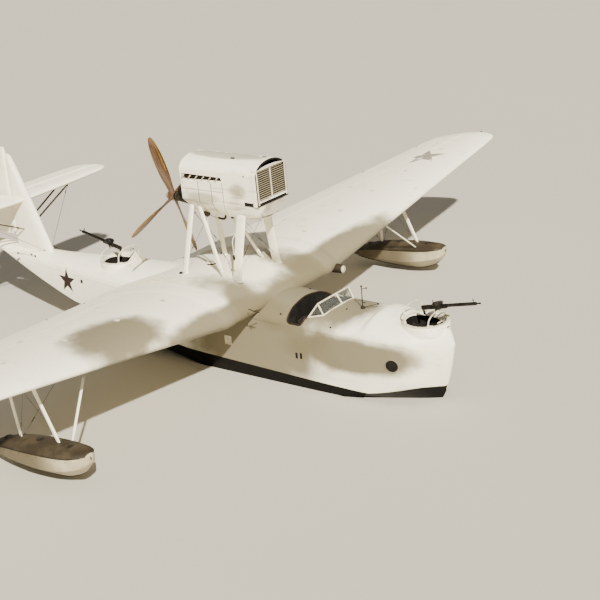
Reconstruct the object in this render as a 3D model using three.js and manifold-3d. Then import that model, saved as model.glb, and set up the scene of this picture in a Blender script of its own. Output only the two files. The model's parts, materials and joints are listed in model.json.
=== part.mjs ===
// Single-engine flying boat of the 1930s with a shoulder wing, an engine on struts
// above the wing that drives a pusher propeller, and two fixed wing floats.
// Millimetres. +X is forward, +Y is port, +Z is up.
// The origin is on the centreline at the main step, on the waterline.
import * as THREE from 'three';
import { mergeVertices } from 'three/addons/utils/BufferGeometryUtils.js';
import Module from 'manifold-3d';

const wasm = await Module();
wasm.setup();

// Driving dimensions of the whole boat
const SPAN = 19000;
const STEP_AFT = 6100;
const DRAFT = 500;
const STERN_AFT = 13150;
const RUDDER_END_AFT = 13500;
const GAP = 0.4;

// Distances aft of the bow and heights above the keel, turned into X and Z
const fore = (aft) => STEP_AFT - aft;
const high = (aboveKeel) => aboveKeel - DRAFT;

// Wing
const ROOT_CHORD = 3880;
const WING_LE_AFT = 4390;
const JOINT_Y = 1660;
const DIHEDRAL = 0.12;
const INCIDENCE = 0.031;
const ROOT_LE_Z = 2045;
const ROOT_THICKNESS = 0.18;
const TIP_THICKNESS = 0.10;
const CAMBER = 0.04;
const CAMBER_AT = 0.4;

// Engine housing and propeller
const NACELLE_FRONT_AFT = 4430;
const NACELLE_REAR_AFT = 6400;
const COWL_HALF = 470;
const COWL_FLOOR_Z = 4000;
const COWL_WALL = 24;
const ENGINE_HALF = 400;
const SHAFT_Z = 3850;
const PROP_AFT = 7090;
const PROP_RADIUS = 1450;

// Gun rings
const NOSE_RING_AFT = 1030;
const REAR_RING_AFT = 8960;
const RING_RADIUS = 430;
const PIT_RADIUS = 385;

// Paints and finishes
const PAINT = {
  cream: { color: 0xd9d2b8, roughness: 0.55, metalness: 0.0 },
  grey: { color: 0xa9a48f, roughness: 0.6, metalness: 0.0 },
  black: { color: 0x16150f, roughness: 0.45, metalness: 0.0 },
  dark: { color: 0x24221d, roughness: 0.7, metalness: 0.2 },
  steel: { color: 0x3a3a38, roughness: 0.45, metalness: 0.8 },
  wood: { color: 0x6b4a2b, roughness: 0.4, metalness: 0.0 },
  glass: { color: 0xbfc8c4, roughness: 0.08, metalness: 0.0 },
  leather: { color: 0x3b2a1c, roughness: 0.7, metalness: 0.0 },
};

const boat = new THREE.Group();

// Closed body from a list of rings with equal point counts, ends capped by ladders
function loft(rings) {
  const count = rings[0].length;
  const points = rings.flat().flatMap((p) => p);
  const faces = [];
  for (let r = 0; r + 1 < rings.length; r += 1) {
    for (let i = 0; i < count; i += 1) {
      const a = r * count + i;
      const b = r * count + ((i + 1) % count);
      faces.push(a, b, b + count, a, b + count, a + count);
    }
  }
  const cap = (start, flip) => {
    const add = (a, b, c) => faces.push(start + a, start + (flip ? c : b), start + (flip ? b : c));
    let i = 1;
    let j = count - 1;
    add(0, j, i);
    while (j - i > 1) {
      add(i, j, j - 1);
      if (j - 1 > i + 1) add(i, j - 1, i + 1);
      i += 1;
      j -= 1;
    }
  };
  cap(0, false);
  cap((rings.length - 1) * count, true);
  const geometry = new THREE.BufferGeometry();
  geometry.setAttribute('position', new THREE.Float32BufferAttribute(points, 3));
  geometry.setIndex(faces);
  return geometry;
}

// Solid from a closed geometry, with its faces turned outwards
function solid(source) {
  const bare = source.clone();
  bare.deleteAttribute('normal');
  bare.deleteAttribute('uv');
  const merged = mergeVertices(bare, 0.001);
  const vertices = merged.attributes.position.array;
  const triangles = Uint32Array.from(merged.index.array);
  let volume = 0;
  for (let t = 0; t < triangles.length; t += 3) {
    const [a, b, c] = [0, 1, 2].map((k) => {
      const at = triangles[t + k] * 3;
      return new THREE.Vector3(vertices[at], vertices[at + 1], vertices[at + 2]);
    });
    volume += a.dot(b.cross(c));
  }
  if (volume < 0) {
    for (let t = 0; t < triangles.length; t += 3) {
      [triangles[t + 1], triangles[t + 2]] = [triangles[t + 2], triangles[t + 1]];
    }
  }
  return new wasm.Manifold(new wasm.Mesh({
    numProp: 3,
    vertProperties: Float32Array.from(vertices),
    triVerts: triangles,
  }));
}

// Adds a solid to the boat as one named mesh
function piece(name, body, paint) {
  const mesh = body.getMesh();
  const geometry = new THREE.BufferGeometry();
  geometry.setAttribute('position', new THREE.Float32BufferAttribute(mesh.vertProperties, 3));
  geometry.setIndex(Array.from(mesh.triVerts));
  geometry.computeVertexNormals();
  const shape = new THREE.Mesh(geometry, new THREE.MeshStandardMaterial(PAINT[paint]));
  shape.name = name;
  boat.add(shape);
  return body;
}

const join = (...bodies) => bodies.reduce((all, body) => all.add(body));
const moved = (body, x, y, z) => body.translate([x, y, z]);
const SIDES = [['left', (body) => body], ['right', (body) => body.mirror([0, 1, 0])]];

// Box between two corners
function block(low, far) {
  const size = low.map((value, i) => far[i] - value);
  const box = new THREE.BoxGeometry(...size);
  box.translate(...low.map((value, i) => value + size[i] / 2));
  return solid(box);
}

// Round bar or cone from one point to another
function bar(from, to, radiusFrom, radiusTo = radiusFrom, sides = 12) {
  const start = new THREE.Vector3(...from);
  const end = new THREE.Vector3(...to);
  const along = end.clone().sub(start);
  const shape = new THREE.CylinderGeometry(radiusTo, radiusFrom, along.length(), sides);
  const turn = new THREE.Quaternion();
  turn.setFromUnitVectors(new THREE.Vector3(0, 1, 0), along.clone().normalize());
  shape.applyQuaternion(turn);
  shape.translate(...start.add(end).multiplyScalar(0.5).toArray());
  return solid(shape);
}

// Streamlined strut: an ellipse that is long fore and aft, drawn from foot to top
function strut(from, to, chord, thickness, sides = 10) {
  const start = new THREE.Vector3(...from);
  const end = new THREE.Vector3(...to);
  const along = end.clone().sub(start).normalize();
  const across = new THREE.Vector3(1, 0, 0).cross(along).normalize();
  const forward = along.clone().cross(across).negate();
  const ring = (centre) => {
    const points = [];
    for (let i = 0; i < sides; i += 1) {
      const angle = (i / sides) * Math.PI * 2;
      const point = centre.clone();
      point.addScaledVector(forward, Math.cos(angle) * chord / 2);
      point.addScaledVector(across, Math.sin(angle) * thickness / 2);
      points.push(point.toArray());
    }
    return points;
  };
  return solid(loft([ring(start), ring(end)]));
}

// Upright prism from an outline of [x, y] pairs
function prismZ(outline, low, top) {
  const shape = new THREE.Shape(outline.map(([x, y]) => new THREE.Vector2(x, y)));
  const body = new THREE.ExtrudeGeometry(shape, { depth: top - low, bevelEnabled: false });
  body.translate(0, 0, low);
  return solid(body);
}

// Prism across the boat from an outline of [x, z] pairs
function prismY(outline, starboard, port) {
  const shape = new THREE.Shape(outline.map(([x, z]) => new THREE.Vector2(x, z)));
  const body = new THREE.ExtrudeGeometry(shape, { depth: port - starboard, bevelEnabled: false });
  body.rotateX(Math.PI / 2);
  body.translate(0, port, 0);
  return solid(body);
}

// Ring or disc about an upright axis, from a profile of [radius, z] pairs
function turned(profile, x, y, sides = 24) {
  const points = profile.map(([radius, z]) => new THREE.Vector2(radius, z));
  const body = new THREE.LatheGeometry(points, sides);
  body.rotateX(Math.PI / 2);
  body.translate(x, y, 0);
  return solid(body);
}

// Hull section rings.
// Columns: aft, keel z, chine y, chine z, deck edge y, deck edge z, crown z
const FOREBODY = [
  [440, 1560, 20, 1575, 40, 1630, 1690],
  [500, 1240, 70, 1330, 120, 1595, 1850],
  [570, 960, 100, 1120, 210, 1580, 1945],
  [680, 620, 140, 930, 330, 1600, 1985],
  [820, 420, 280, 890, 460, 1635, 2000],
  [1040, 320, 490, 860, 600, 1680, 2005],
  [1300, 255, 620, 800, 690, 1725, 2010],
  [1500, 210, 680, 745, 730, 1750, 2015],
  [2140, 95, 775, 600, 775, 1755, 2035],
  [3240, 15, 800, 350, 795, 1750, 2060],
  [4400, 0, 800, 250, 800, 1780, 2120],
  [6100, 0, 800, 300, 800, 1830, 2230],
];
const AFTERBODY = [
  [6100, 225, 800, 520, 800, 1830, 2230],
  [7200, 440, 775, 700, 765, 1820, 2240],
  [8200, 640, 715, 880, 700, 1830, 2215],
  [9100, 830, 630, 1030, 610, 1845, 2180],
  [10000, 1020, 520, 1180, 505, 1865, 2145],
  [11100, 1370, 395, 1470, 385, 1900, 2100],
  [12130, 1740, 290, 1820, 280, 1960, 2110],
  [12800, 1990, 200, 2050, 190, 2080, 2170],
  [STERN_AFT, 2120, 90, 2150, 80, 2160, 2210],
];
const DECK_STEPS = 5;

function hullRing([aft, keel, chineY, chineZ, edgeY, edgeZ, crown]) {
  const half = [[0, keel], [chineY, chineZ]];
  for (let i = 0; i < DECK_STEPS; i += 1) {
    const angle = (i / DECK_STEPS) * Math.PI / 2;
    half.push([edgeY * Math.cos(angle), edgeZ + (crown - edgeZ) * Math.sin(angle)]);
  }
  half.push([0, crown]);
  const port = half.map(([y, z]) => [fore(aft), y, high(z)]);
  const starboard = half.slice(1, -1).reverse().map(([y, z]) => [fore(aft), -y, high(z)]);
  return port.concat(starboard);
}

// Wing section ring at one place along the span
function sectionPoint(f, thickness) {
  const half = 5 * thickness * (0.2969 * Math.sqrt(f) - 0.126 * f - 0.3516 * f ** 2
    + 0.2843 * f ** 3 - 0.1036 * f ** 4);
  const rise = f < CAMBER_AT
    ? CAMBER / CAMBER_AT ** 2 * (2 * CAMBER_AT * f - f ** 2)
    : CAMBER / (1 - CAMBER_AT) ** 2 * (1 - 2 * CAMBER_AT + 2 * CAMBER_AT * f - f ** 2);
  return [rise, Math.max(half, 0.0008)];
}

const WING_STATIONS = [0.0, 0.015, 0.06, 0.14, 0.26, 0.4, 0.55, 0.7, 0.85, 1.0];

function wingRing(y, leAft, teAft, leZ, thickness, grow = 0) {
  const chord = teAft - leAft;
  const upper = [];
  const lower = [];
  WING_STATIONS.forEach((f) => {
    const [rise, half] = sectionPoint(f, thickness);
    const x = fore(leAft + chord * f) + grow * (1 - 2 * f);
    const z = high(leZ) + chord * (rise - INCIDENCE * f);
    if (f === 0) {
      upper.push([x, y, z]);
    } else {
      upper.push([x, y, z + chord * half + grow]);
      lower.push([x, y, z - chord * half - grow]);
    }
  });
  return upper.concat(lower.reverse());
}

// Place of the wing's chord line at a distance out from the centreline
const wingLeAft = (y) => WING_LE_AFT + 0.045 * Math.max(y - JOINT_Y, 0);
const wingTeAft = (y) => WING_LE_AFT + ROOT_CHORD - 0.255 * Math.max(y - JOINT_Y, 0);
const wingLeZ = (y) => ROOT_LE_Z + DIHEDRAL * Math.max(y - JOINT_Y, 0);
const wingThickness = (y) => ROOT_THICKNESS
  - (ROOT_THICKNESS - TIP_THICKNESS) * Math.max(y - JOINT_Y, 0) / (SPAN / 2 - JOINT_Y);

// Outer panel stations past the straight taper. Columns: y, leading edge back, trailing edge forward
const TIP_STATIONS = [
  [8700, 0, 0],
  [9100, 10, 60],
  [9300, 30, 260],
  [9430, 90, 650],
  [SPAN / 2, 240, 1230],
];

// Hull, split at the step, at the painted waterline and at the main frames
const forebody = solid(loft(FOREBODY.map(hullRing)));
const afterbody = moved(solid(loft(AFTERBODY.map(hullRing))), -GAP, 0, 0);
const PAINT_LINE = [
  [300, 740], [700, 785], [960, 820], [1120, 805], [1390, 755], [1930, 660], [6450, 810],
  [10000, 1190], [10600, 1260],
];
const belowPaint = PAINT_LINE.map(([aft, z]) => [fore(aft), high(z)]);
const SEA_FLOOR = high(-600);
const bottomRegion = prismY(
  [...belowPaint, [fore(10600), SEA_FLOOR], [fore(300), SEA_FLOOR]], -1200, 1200);
const TOP = high(3000);
const topRegion = (frontAft, rearAft) => {
  const zAt = (aft) => {
    const i = PAINT_LINE.findIndex(([a]) => a >= aft);
    const [a0, z0] = PAINT_LINE[i - 1];
    const [a1, z1] = PAINT_LINE[i];
    return z0 + (z1 - z0) * (aft - a0) / (a1 - a0);
  };
  const inner = PAINT_LINE.filter(([a]) => a > frontAft && a < rearAft);
  const line = [[frontAft, zAt(frontAft)], ...inner, [rearAft, zAt(rearAft)]];
  const outline = line.map(([aft, z]) => [fore(aft), high(z) + GAP]);
  return prismY([...outline, [fore(rearAft), TOP], [fore(frontAft), TOP]], -1200, 1200);
};

const wingCentreRing = (grow) => [-JOINT_Y - grow, JOINT_Y + grow].map((y) => wingRing(
  y, WING_LE_AFT, WING_LE_AFT + ROOT_CHORD, ROOT_LE_Z, ROOT_THICKNESS, grow));
const wingCentre = solid(loft(wingCentreRing(0)));
const wingSpace = solid(loft(wingCentreRing(2 * GAP)));

const NOSE_FRAME = 2300;
const COCKPIT_FRAME = 4330;
const TAIL_FRAME = 8330;

const PIT_FLOOR = { nose: high(1250), rear: high(1000) };
const gunPit = (aft, pitFloor) => turned(
  [[0, pitFloor], [PIT_RADIUS, pitFloor], [PIT_RADIUS, TOP], [0, TOP]], fore(aft), 0);
const COAMING_TOP = { nose: high(2030), rear: high(2215) };
const coaming = (aft, top) => turned([
  [PIT_RADIUS, top - 190], [RING_RADIUS + 25, top - 190], [RING_RADIUS + 25, top],
  [PIT_RADIUS, top], [PIT_RADIUS, top - 190]], fore(aft), 0);

const hullBottomFore = forebody.intersect(bottomRegion);
const hullBottomAft = afterbody.intersect(bottomRegion);
piece('hull_bottom_fore', hullBottomFore, 'black');
piece('hull_bottom_aft', hullBottomAft, 'black');

const noseShell = forebody.intersect(topRegion(350, NOSE_FRAME - GAP))
  .add(coaming(NOSE_RING_AFT, COAMING_TOP.nose))
  .subtract(gunPit(NOSE_RING_AFT, PIT_FLOOR.nose));
piece('hull_nose', noseShell, 'cream');

// Cockpit well: narrow under the windscreen, wide at the seats, with a round rear edge
const WELL_FRONT = 3060;
const WELL_SHOULDER = 3335;
const WELL_REAR = 3830;
const WELL_ROUND = 330;
const WELL_HALF = 700;
const WELL_FLOOR = 950;
const wellOutline = [];
for (let i = 0; i <= 8; i += 1) {
  const angle = (i / 8) * Math.PI;
  wellOutline.push([
    fore(WELL_REAR - WELL_ROUND) - WELL_ROUND * Math.sin(angle),
    WELL_HALF * Math.cos(angle),
  ]);
}
wellOutline.push([fore(WELL_SHOULDER), -WELL_HALF], [fore(WELL_SHOULDER), -590]);
wellOutline.push([fore(WELL_FRONT), -470], [fore(WELL_FRONT), 470]);
wellOutline.push([fore(WELL_SHOULDER), 590], [fore(WELL_SHOULDER), WELL_HALF]);
const well = prismZ(wellOutline, high(WELL_FLOOR), TOP);
const SILL = [[WELL_SHOULDER, 1960], [3390, 1815], [3700, 1815], [3790, 1900], [3800, 2500],
  [WELL_SHOULDER, 2500]];
const sill = prismY(SILL.map(([aft, z]) => [fore(aft), high(z)]), -1000, 1000);
const cockpit = forebody.intersect(topRegion(NOSE_FRAME, COCKPIT_FRAME - GAP))
  .subtract(wingSpace).subtract(well).subtract(sill);
piece('hull_cockpit', cockpit, 'cream');

const PAD_Y = 818;
const beachingPads = join(...[-1, 1].map((turn) => block(
  [fore(5390), Math.min(turn * 780, turn * PAD_Y), high(1100)],
  [fore(5210), Math.max(turn * 780, turn * PAD_Y), high(1300)])));
const centre = forebody.intersect(topRegion(COCKPIT_FRAME, STEP_AFT + 10)).subtract(wingSpace)
  .add(beachingPads);
piece('hull_centre', centre, 'cream');
const aftDeck = afterbody.intersect(topRegion(STEP_AFT - 10, TAIL_FRAME - GAP)).subtract(wingSpace);
piece('hull_aft', aftDeck, 'cream');

// Tail of the hull with the rear gun pit
const tailRegion = prismY([
  [fore(TAIL_FRAME), high(980)], [fore(10000), high(1190) + GAP], [fore(10600), high(1260) + GAP],
  [fore(10600), SEA_FLOOR], [fore(STERN_AFT + 200), SEA_FLOOR],
  [fore(STERN_AFT + 200), TOP], [fore(TAIL_FRAME), TOP]], -1200, 1200);
const hullTail = afterbody.intersect(tailRegion).subtract(bottomRegion.translate([0, 0, GAP]))
  .add(coaming(REAR_RING_AFT, COAMING_TOP.rear))
  .subtract(gunPit(REAR_RING_AFT, PIT_FLOOR.rear));
piece('hull_tail', hullTail, 'cream');

// Wing centre section and outer panels with their ailerons
piece('wing_centre', wingCentre, 'cream');

const HINGE_FROM_Y = 2010;
const HINGE_TO_Y = 8960;
const hingeAft = (y) => 7100 - 0.225 * (y - 1870);
function hingePoint(y) {
  const chord = wingTeAft(y) - wingLeAft(y);
  const f = (hingeAft(y) - wingLeAft(y)) / chord;
  const [rise, half] = sectionPoint(f, wingThickness(y));
  return {
    point: [fore(hingeAft(y)), y, high(wingLeZ(y)) + chord * (rise - INCIDENCE * f)],
    radius: chord * half,
  };
}
const hingeIn = hingePoint(HINGE_FROM_Y);
const hingeOut = hingePoint(HINGE_TO_Y);

// Box behind the aileron hinge, square to it, that reaches past both ends by a margin
function hingeBox(margin) {
  const start = new THREE.Vector3(...hingeIn.point);
  const end = new THREE.Vector3(...hingeOut.point);
  const along = end.clone().sub(start);
  const box = new THREE.BoxGeometry(2400, along.length() + 2 * margin, 1600);
  box.translate(-1200, 0, 0);
  const yAxis = along.clone().normalize();
  const zAxis = new THREE.Vector3(1, 0, 0).cross(yAxis).normalize();
  const xAxis = yAxis.clone().cross(zAxis);
  const turn = new THREE.Matrix4().makeBasis(xAxis, yAxis, zAxis);
  box.applyMatrix4(turn);
  box.translate(...start.add(end).multiplyScalar(0.5).toArray());
  return solid(box);
}
function hingeCone(margin, scale, extra) {
  const start = new THREE.Vector3(...hingeIn.point);
  const end = new THREE.Vector3(...hingeOut.point);
  const unit = end.clone().sub(start).normalize();
  start.addScaledVector(unit, -margin);
  end.addScaledVector(unit, margin);
  return bar(start.toArray(), end.toArray(),
    hingeIn.radius * scale + extra, hingeOut.radius * scale + extra, 20);
}
const panelRings = (grow) => [
  wingRing(JOINT_Y + 2 * GAP, wingLeAft(JOINT_Y), wingTeAft(JOINT_Y), wingLeZ(JOINT_Y),
    ROOT_THICKNESS, grow),
  ...TIP_STATIONS.map(([y, back, forward]) => wingRing(
    y, wingLeAft(y) + back, wingTeAft(y) - forward, wingLeZ(y), wingThickness(y), grow)),
];
const panel = solid(loft(panelRings(0)));
const AILERON_END_GAP = 9;
const AILERON_COVE = 28;
const AILERON_NOSE = 0.93;
const aileron = panel.intersect(hingeBox(0).add(hingeCone(0, AILERON_NOSE, 0)));

// Hinge lug of the wing, which meets the aileron's round nose at a place along the hinge
const LUG_HALF = 15;
function aileronLug(place) {
  const start = new THREE.Vector3(...hingeIn.point);
  const along = new THREE.Vector3(...hingeOut.point).sub(start);
  const inner = place - LUG_HALF / along.length();
  const radius = hingeIn.radius + (hingeOut.radius - hingeIn.radius) * inner;
  const [near, far] = [radius * AILERON_NOSE + GAP, radius + AILERON_COVE + 60];
  const box = new THREE.BoxGeometry(far - near, 2 * LUG_HALF, 36);
  box.translate((near + far) / 2, 0, 0);
  const yAxis = along.clone().normalize();
  const zAxis = new THREE.Vector3(1, 0, 0).cross(yAxis).normalize();
  box.applyMatrix4(new THREE.Matrix4().makeBasis(yAxis.clone().cross(zAxis), yAxis, zAxis));
  box.translate(...start.addScaledVector(along, place).toArray());
  return solid(box);
}
const outerPanel = join(
  panel.subtract(hingeBox(AILERON_END_GAP)).subtract(hingeCone(AILERON_END_GAP, 1, AILERON_COVE)),
  ...[0.08, 0.36, 0.64, 0.92].map(aileronLug));

const rackPad = block([fore(5750), 2440, high(1885)], [fore(5250), 2560, high(2040)]);
const lampPod = join(
  bar([fore(4235), 1850, high(1985)], [fore(4300), 1850, high(1985)], 105, 125, 14),
  bar([fore(4299), 1850, high(1985)], [fore(4620), 1850, high(1985)], 125, 105, 14),
  bar([fore(4619), 1850, high(1985)], [fore(4880), 1850, high(2010)], 105, 30, 14));
for (const [side, turnOver] of SIDES) {
  const extras = side === 'left' ? rackPad.add(lampPod) : rackPad;
  piece(`wing_${side}`, turnOver(outerPanel.add(extras)), 'cream');
  piece(`aileron_${side}`, turnOver(aileron), 'cream');
}

// Fin, with a round nose that leans aft. Columns: height, leading edge aft, half thickness
const RUDDER_HINGE_AFT = 12350;
const RUDDER_NOSE = 66;
const FIN_BACK_AFT = RUDDER_HINGE_AFT - 90;
const FIN_SECTIONS = [
  [2020, 11130, 118],
  [3150, 11610, 100],
  [4150, 12080, 74],
  [4290, 12150, 52],
  [4345, 12210, 26],
];
function finRing([z, leAft, half], grow = 0) {
  const chord = FIN_BACK_AFT - leAft;
  const outline = [[0, 0], [0.03, 0.5], [0.1, 0.8], [0.28, 1], [0.65, 0.95], [1, 0.72]];
  const port = outline.map(([f, w]) => [
    fore(leAft + chord * f) + (f === 0 ? grow : 0), w * half + (f === 0 ? 0 : grow), high(z)]);
  const starboard = port.slice(1).reverse().map(([x, y, zz]) => [x, -y, zz]);
  return port.concat(starboard);
}
const finBody = solid(loft(FIN_SECTIONS.map((row) => finRing(row))));
const finSpace = solid(loft(FIN_SECTIONS.map((row) => finRing(row, 2 * GAP))));
const FIN_LUG_HEIGHTS = [2720, 3760, 4180];
const finLugs = FIN_LUG_HEIGHTS.map((z) => block(
  [fore(RUDDER_HINGE_AFT - RUDDER_NOSE - GAP), -16, high(z - 20)],
  [fore(FIN_BACK_AFT - 40), 16, high(z + 20)]));
const fin = join(finBody, ...finLugs).subtract(moved(afterbody, 0, 0, GAP));
piece('fin', fin, 'cream');

// Rudder, built up in height. Columns: height, trailing edge aft, half thickness of the nose
const RUDDER_SECTIONS = [
  [2400, 13120, 0.6],
  [2560, 13330, 1],
  [3000, 13470, 1],
  [3500, RUDDER_END_AFT, 1],
  [4000, 13400, 0.95],
  [4350, 13110, 0.8],
  [4500, 12780, 0.45],
];
function rudderRing([z, teAft, scale]) {
  const radius = RUDDER_NOSE * scale;
  const port = [];
  for (let i = 0; i <= 4; i += 1) {
    const angle = (i / 4) * Math.PI / 2;
    port.push([radius * Math.cos(angle), radius * Math.sin(angle)]);
  }
  port.push([-(teAft - RUDDER_HINGE_AFT), 5]);
  const ring = port.map(([x, y]) => [fore(RUDDER_HINGE_AFT) + x, y, high(z)]);
  const other = port.slice(1).reverse().map(([x, y]) => [fore(RUDDER_HINGE_AFT) + x, -y, high(z)]);
  return ring.concat(other);
}
piece('rudder', solid(loft(RUDDER_SECTIONS.map(rudderRing))), 'cream');

// Tailplane and elevators. Columns: y, leading edge aft, trailing edge aft, thickness scale
const TAIL_Z = 3300;
const ELEVATOR_HINGE_AFT = 12440;
const TAIL_HALF_THICKNESS = 78;
const TAIL_STATIONS = [
  [0, 11800, 13010, 1],
  [2150, 11940, 13000, 0.85],
  [2600, 11985, 12930, 0.72],
  [2820, 12080, 12790, 0.5],
  [2910, 12240, 12600, 0.25],
];
const TAIL_BACK_GAP = 14;
function tailplaneRing([y, leAft, , scale], grow = 0) {
  const back = ELEVATOR_HINGE_AFT - TAIL_HALF_THICKNESS - TAIL_BACK_GAP;
  const half = TAIL_HALF_THICKNESS * scale;
  const outline = [[0, 0], [0.04, 0.45], [0.14, 0.76], [0.4, 1], [1, 1]];
  const top = outline.map(([f, w]) => [fore(leAft + (back - leAft) * f), y, high(TAIL_Z) + w * half]);
  const under = outline.slice(1).reverse()
    .map(([f, w]) => [fore(leAft + (back - leAft) * f), y, high(TAIL_Z) - w * half]);
  return top.concat(under);
}
function elevatorRing([y, , teAft, scale]) {
  const radius = TAIL_HALF_THICKNESS * scale;
  const top = [];
  for (let i = 0; i <= 4; i += 1) {
    const angle = (i / 4) * Math.PI / 2;
    top.push([radius * Math.cos(angle), radius * Math.sin(angle)]);
  }
  top.push([-(teAft - ELEVATOR_HINGE_AFT), 5]);
  const ring = top.map(([x, z]) => [fore(ELEVATOR_HINGE_AFT) + x, y, high(TAIL_Z) + z]);
  const under = top.slice(1).reverse()
    .map(([x, z]) => [fore(ELEVATOR_HINGE_AFT) + x, y, high(TAIL_Z) - z]);
  return ring.concat(under);
}
const rudderRoom = block([fore(12640), -105, high(3000)], [fore(12180), 105, high(3600)]);
// Hinge lugs at the tailplane's back. Columns: y, thickness scale of the elevator's nose there
const TAIL_LUGS = [[300, 0.98], [1180, 0.9187], [2060, 0.8573]];
const tailLugs = TAIL_LUGS.map(([y, scale]) => block(
  [fore(ELEVATOR_HINGE_AFT - TAIL_HALF_THICKNESS * scale) + GAP, y - LUG_HALF, high(TAIL_Z - 18)],
  [fore(ELEVATOR_HINGE_AFT - TAIL_HALF_THICKNESS - TAIL_BACK_GAP - 40), y + LUG_HALF,
    high(TAIL_Z + 18)]));
const tailplane = join(solid(loft(TAIL_STATIONS.map((row) => tailplaneRing(row)))), ...tailLugs);
const tailRoot = finSpace.add(rudderRoom);
const RUDDER_SWEEP = Math.tan(THREE.MathUtils.degToRad(31));
const ELEVATOR_ROOT_Y = 150;
const elevatorRegion = prismZ([
  [fore(ELEVATOR_HINGE_AFT - 100), ELEVATOR_ROOT_Y],
  [fore(ELEVATOR_HINGE_AFT), ELEVATOR_ROOT_Y],
  [fore(13100), ELEVATOR_ROOT_Y + (13100 - ELEVATOR_HINGE_AFT) * RUDDER_SWEEP],
  [fore(13100), 3000], [fore(ELEVATOR_HINGE_AFT - 100), 3000]], high(3000), high(3600));
const elevator = solid(loft(TAIL_STATIONS.map(elevatorRing))).intersect(elevatorRegion);
for (const [side, turnOver] of SIDES) {
  piece(`tailplane_${side}`, turnOver(tailplane).subtract(tailRoot), 'cream');
  piece(`elevator_${side}`, turnOver(elevator), 'cream');
}

// Tailplane struts. Columns: name, top aft, foot aft
const TAIL_STRUT_TOP_Y = 1480;
for (const [name, topAft, footAft] of [['front', 12020, 11950], ['rear', 12300, 12170]]) {
  const foot = [fore(footAft), 60, high(2560)];
  const top = [fore(topAft), TAIL_STRUT_TOP_Y, high(TAIL_Z)];
  const arm = strut(foot, top, 64, 34).subtract(moved(tailplane, 0, 0, -GAP));
  for (const [side, turnOver] of SIDES) {
    piece(`tail_strut_${name}_${side}`, turnOver(arm).subtract(finSpace), 'cream');
  }
}

// Engine housing: lower shell. Columns: aft, bottom z, half width, fullness of the bilge
const BELLY = [
  [NACELLE_FRONT_AFT, 3745, 400, 0.15],
  [4620, 3672, 450, 0.12],
  [5150, 3645, 468, 0.16],
  [5800, 3640, 466, 0.45],
  [NACELLE_REAR_AFT, 3680, 440, 0.6],
];
const BELLY_TOP = COWL_FLOOR_Z - GAP;
function bellyRing([aft, bottom, half, bilge]) {
  const port = [[0, bottom], [half * 0.42, bottom + 18],
    [half * 0.76, bottom + (BELLY_TOP - bottom) * bilge],
    [half, BELLY_TOP - 60 * (1 - bilge)], [half, BELLY_TOP], [0, BELLY_TOP]];
  const side = port.map(([y, z]) => [fore(aft), y, high(z)]);
  const other = port.slice(1, -1).reverse().map(([y, z]) => [fore(aft), -y, high(z)]);
  return side.concat(other);
}
const belly = solid(loft(BELLY.map(bellyRing)));

// Upper cowl: an arched shell, open at the front for the radiator and at the back
const COWL_CROWN_Z = 4860;
const COWL_EDGE_Z = 4600;
function archRing(aft, half, floor, edge, crown) {
  const port = [[0, floor], [half, floor], [half, edge - 60]];
  for (let i = 0; i < 6; i += 1) {
    const angle = (i / 6) * Math.PI / 2;
    port.push([half * Math.cos(angle), edge + (crown - edge) * Math.sin(angle)]);
  }
  port.push([0, crown]);
  const side = port.map(([y, z]) => [fore(aft), y, high(z)]);
  const other = port.slice(1, -1).reverse().map(([y, z]) => [fore(aft), -y, high(z)]);
  return side.concat(other);
}
const COWL_FRONT_AFT = 4520;
const arch = (front, rear, shrink) => solid(loft([front, rear].map((aft) => archRing(
  aft, COWL_HALF - shrink, COWL_FLOOR_Z - (shrink ? 200 : 0), COWL_EDGE_Z, COWL_CROWN_Z - shrink))));
const exhaustSlot = prismY([
  [fore(5290), high(4455)], [fore(5310), high(4520)], [fore(6350), high(4535)],
  [fore(6370), high(4450)], [fore(6360), high(4425)]], -800, 800);
const cowl = arch(COWL_FRONT_AFT, NACELLE_REAR_AFT - 10, 0)
  .subtract(arch(COWL_FRONT_AFT - 100, NACELLE_REAR_AFT + 100, COWL_WALL))
  .subtract(exhaustSlot);

// Radiator: arched frame, block and level slats
const RADIATOR_SILL = 4090;
const radiatorFrame = arch(NACELLE_FRONT_AFT - 30, COWL_FRONT_AFT - GAP, 0)
  .subtract(arch(NACELLE_FRONT_AFT - 100, COWL_FRONT_AFT + 100, 34));
const sillBar = block([fore(COWL_FRONT_AFT - GAP), -COWL_HALF + 10, high(RADIATOR_SILL - 30)],
  [fore(NACELLE_FRONT_AFT - 25), COWL_HALF - 10, high(RADIATOR_SILL)]);
const headBar = block([fore(COWL_FRONT_AFT - GAP), -COWL_HALF + 10, high(4700)],
  [fore(NACELLE_FRONT_AFT - 25), COWL_HALF - 10, high(4722)]);
const postBar = block([fore(NACELLE_FRONT_AFT + 10), -9, high(RADIATOR_SILL - 10)],
  [fore(NACELLE_FRONT_AFT - 22), 9, high(4710)]);
const SLATS = 16;
let grille = join(radiatorFrame, sillBar, headBar, postBar);
for (let i = 0; i < SLATS; i += 1) {
  const z = high(RADIATOR_SILL + 20 + (i + 0.5) * (4700 - RADIATOR_SILL - 20) / SLATS);
  grille = grille.add(block([fore(NACELLE_FRONT_AFT + 8), -COWL_HALF + 20, z - 6],
    [fore(NACELLE_FRONT_AFT - 16), COWL_HALF - 20, z + 6]));
}
const radiator = block([fore(4660), -COWL_HALF + 80, high(RADIATOR_SILL - 20)],
  [fore(COWL_FRONT_AFT), COWL_HALF - 80, high(4690)]);
const engine = join(
  block([fore(6300), -230, high(4000)], [fore(4780), 230, high(4420)]),
  block([fore(6300), -ENGINE_HALF, high(4280)], [fore(5180), ENGINE_HALF, high(4610)]));
piece('cowl_lower', belly, 'cream');
piece('cowl_upper', cowl, 'cream');
piece('radiator_grille', grille, 'grey');
piece('radiator_block', radiator, 'dark');
piece('engine_block', engine, 'dark');

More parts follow.
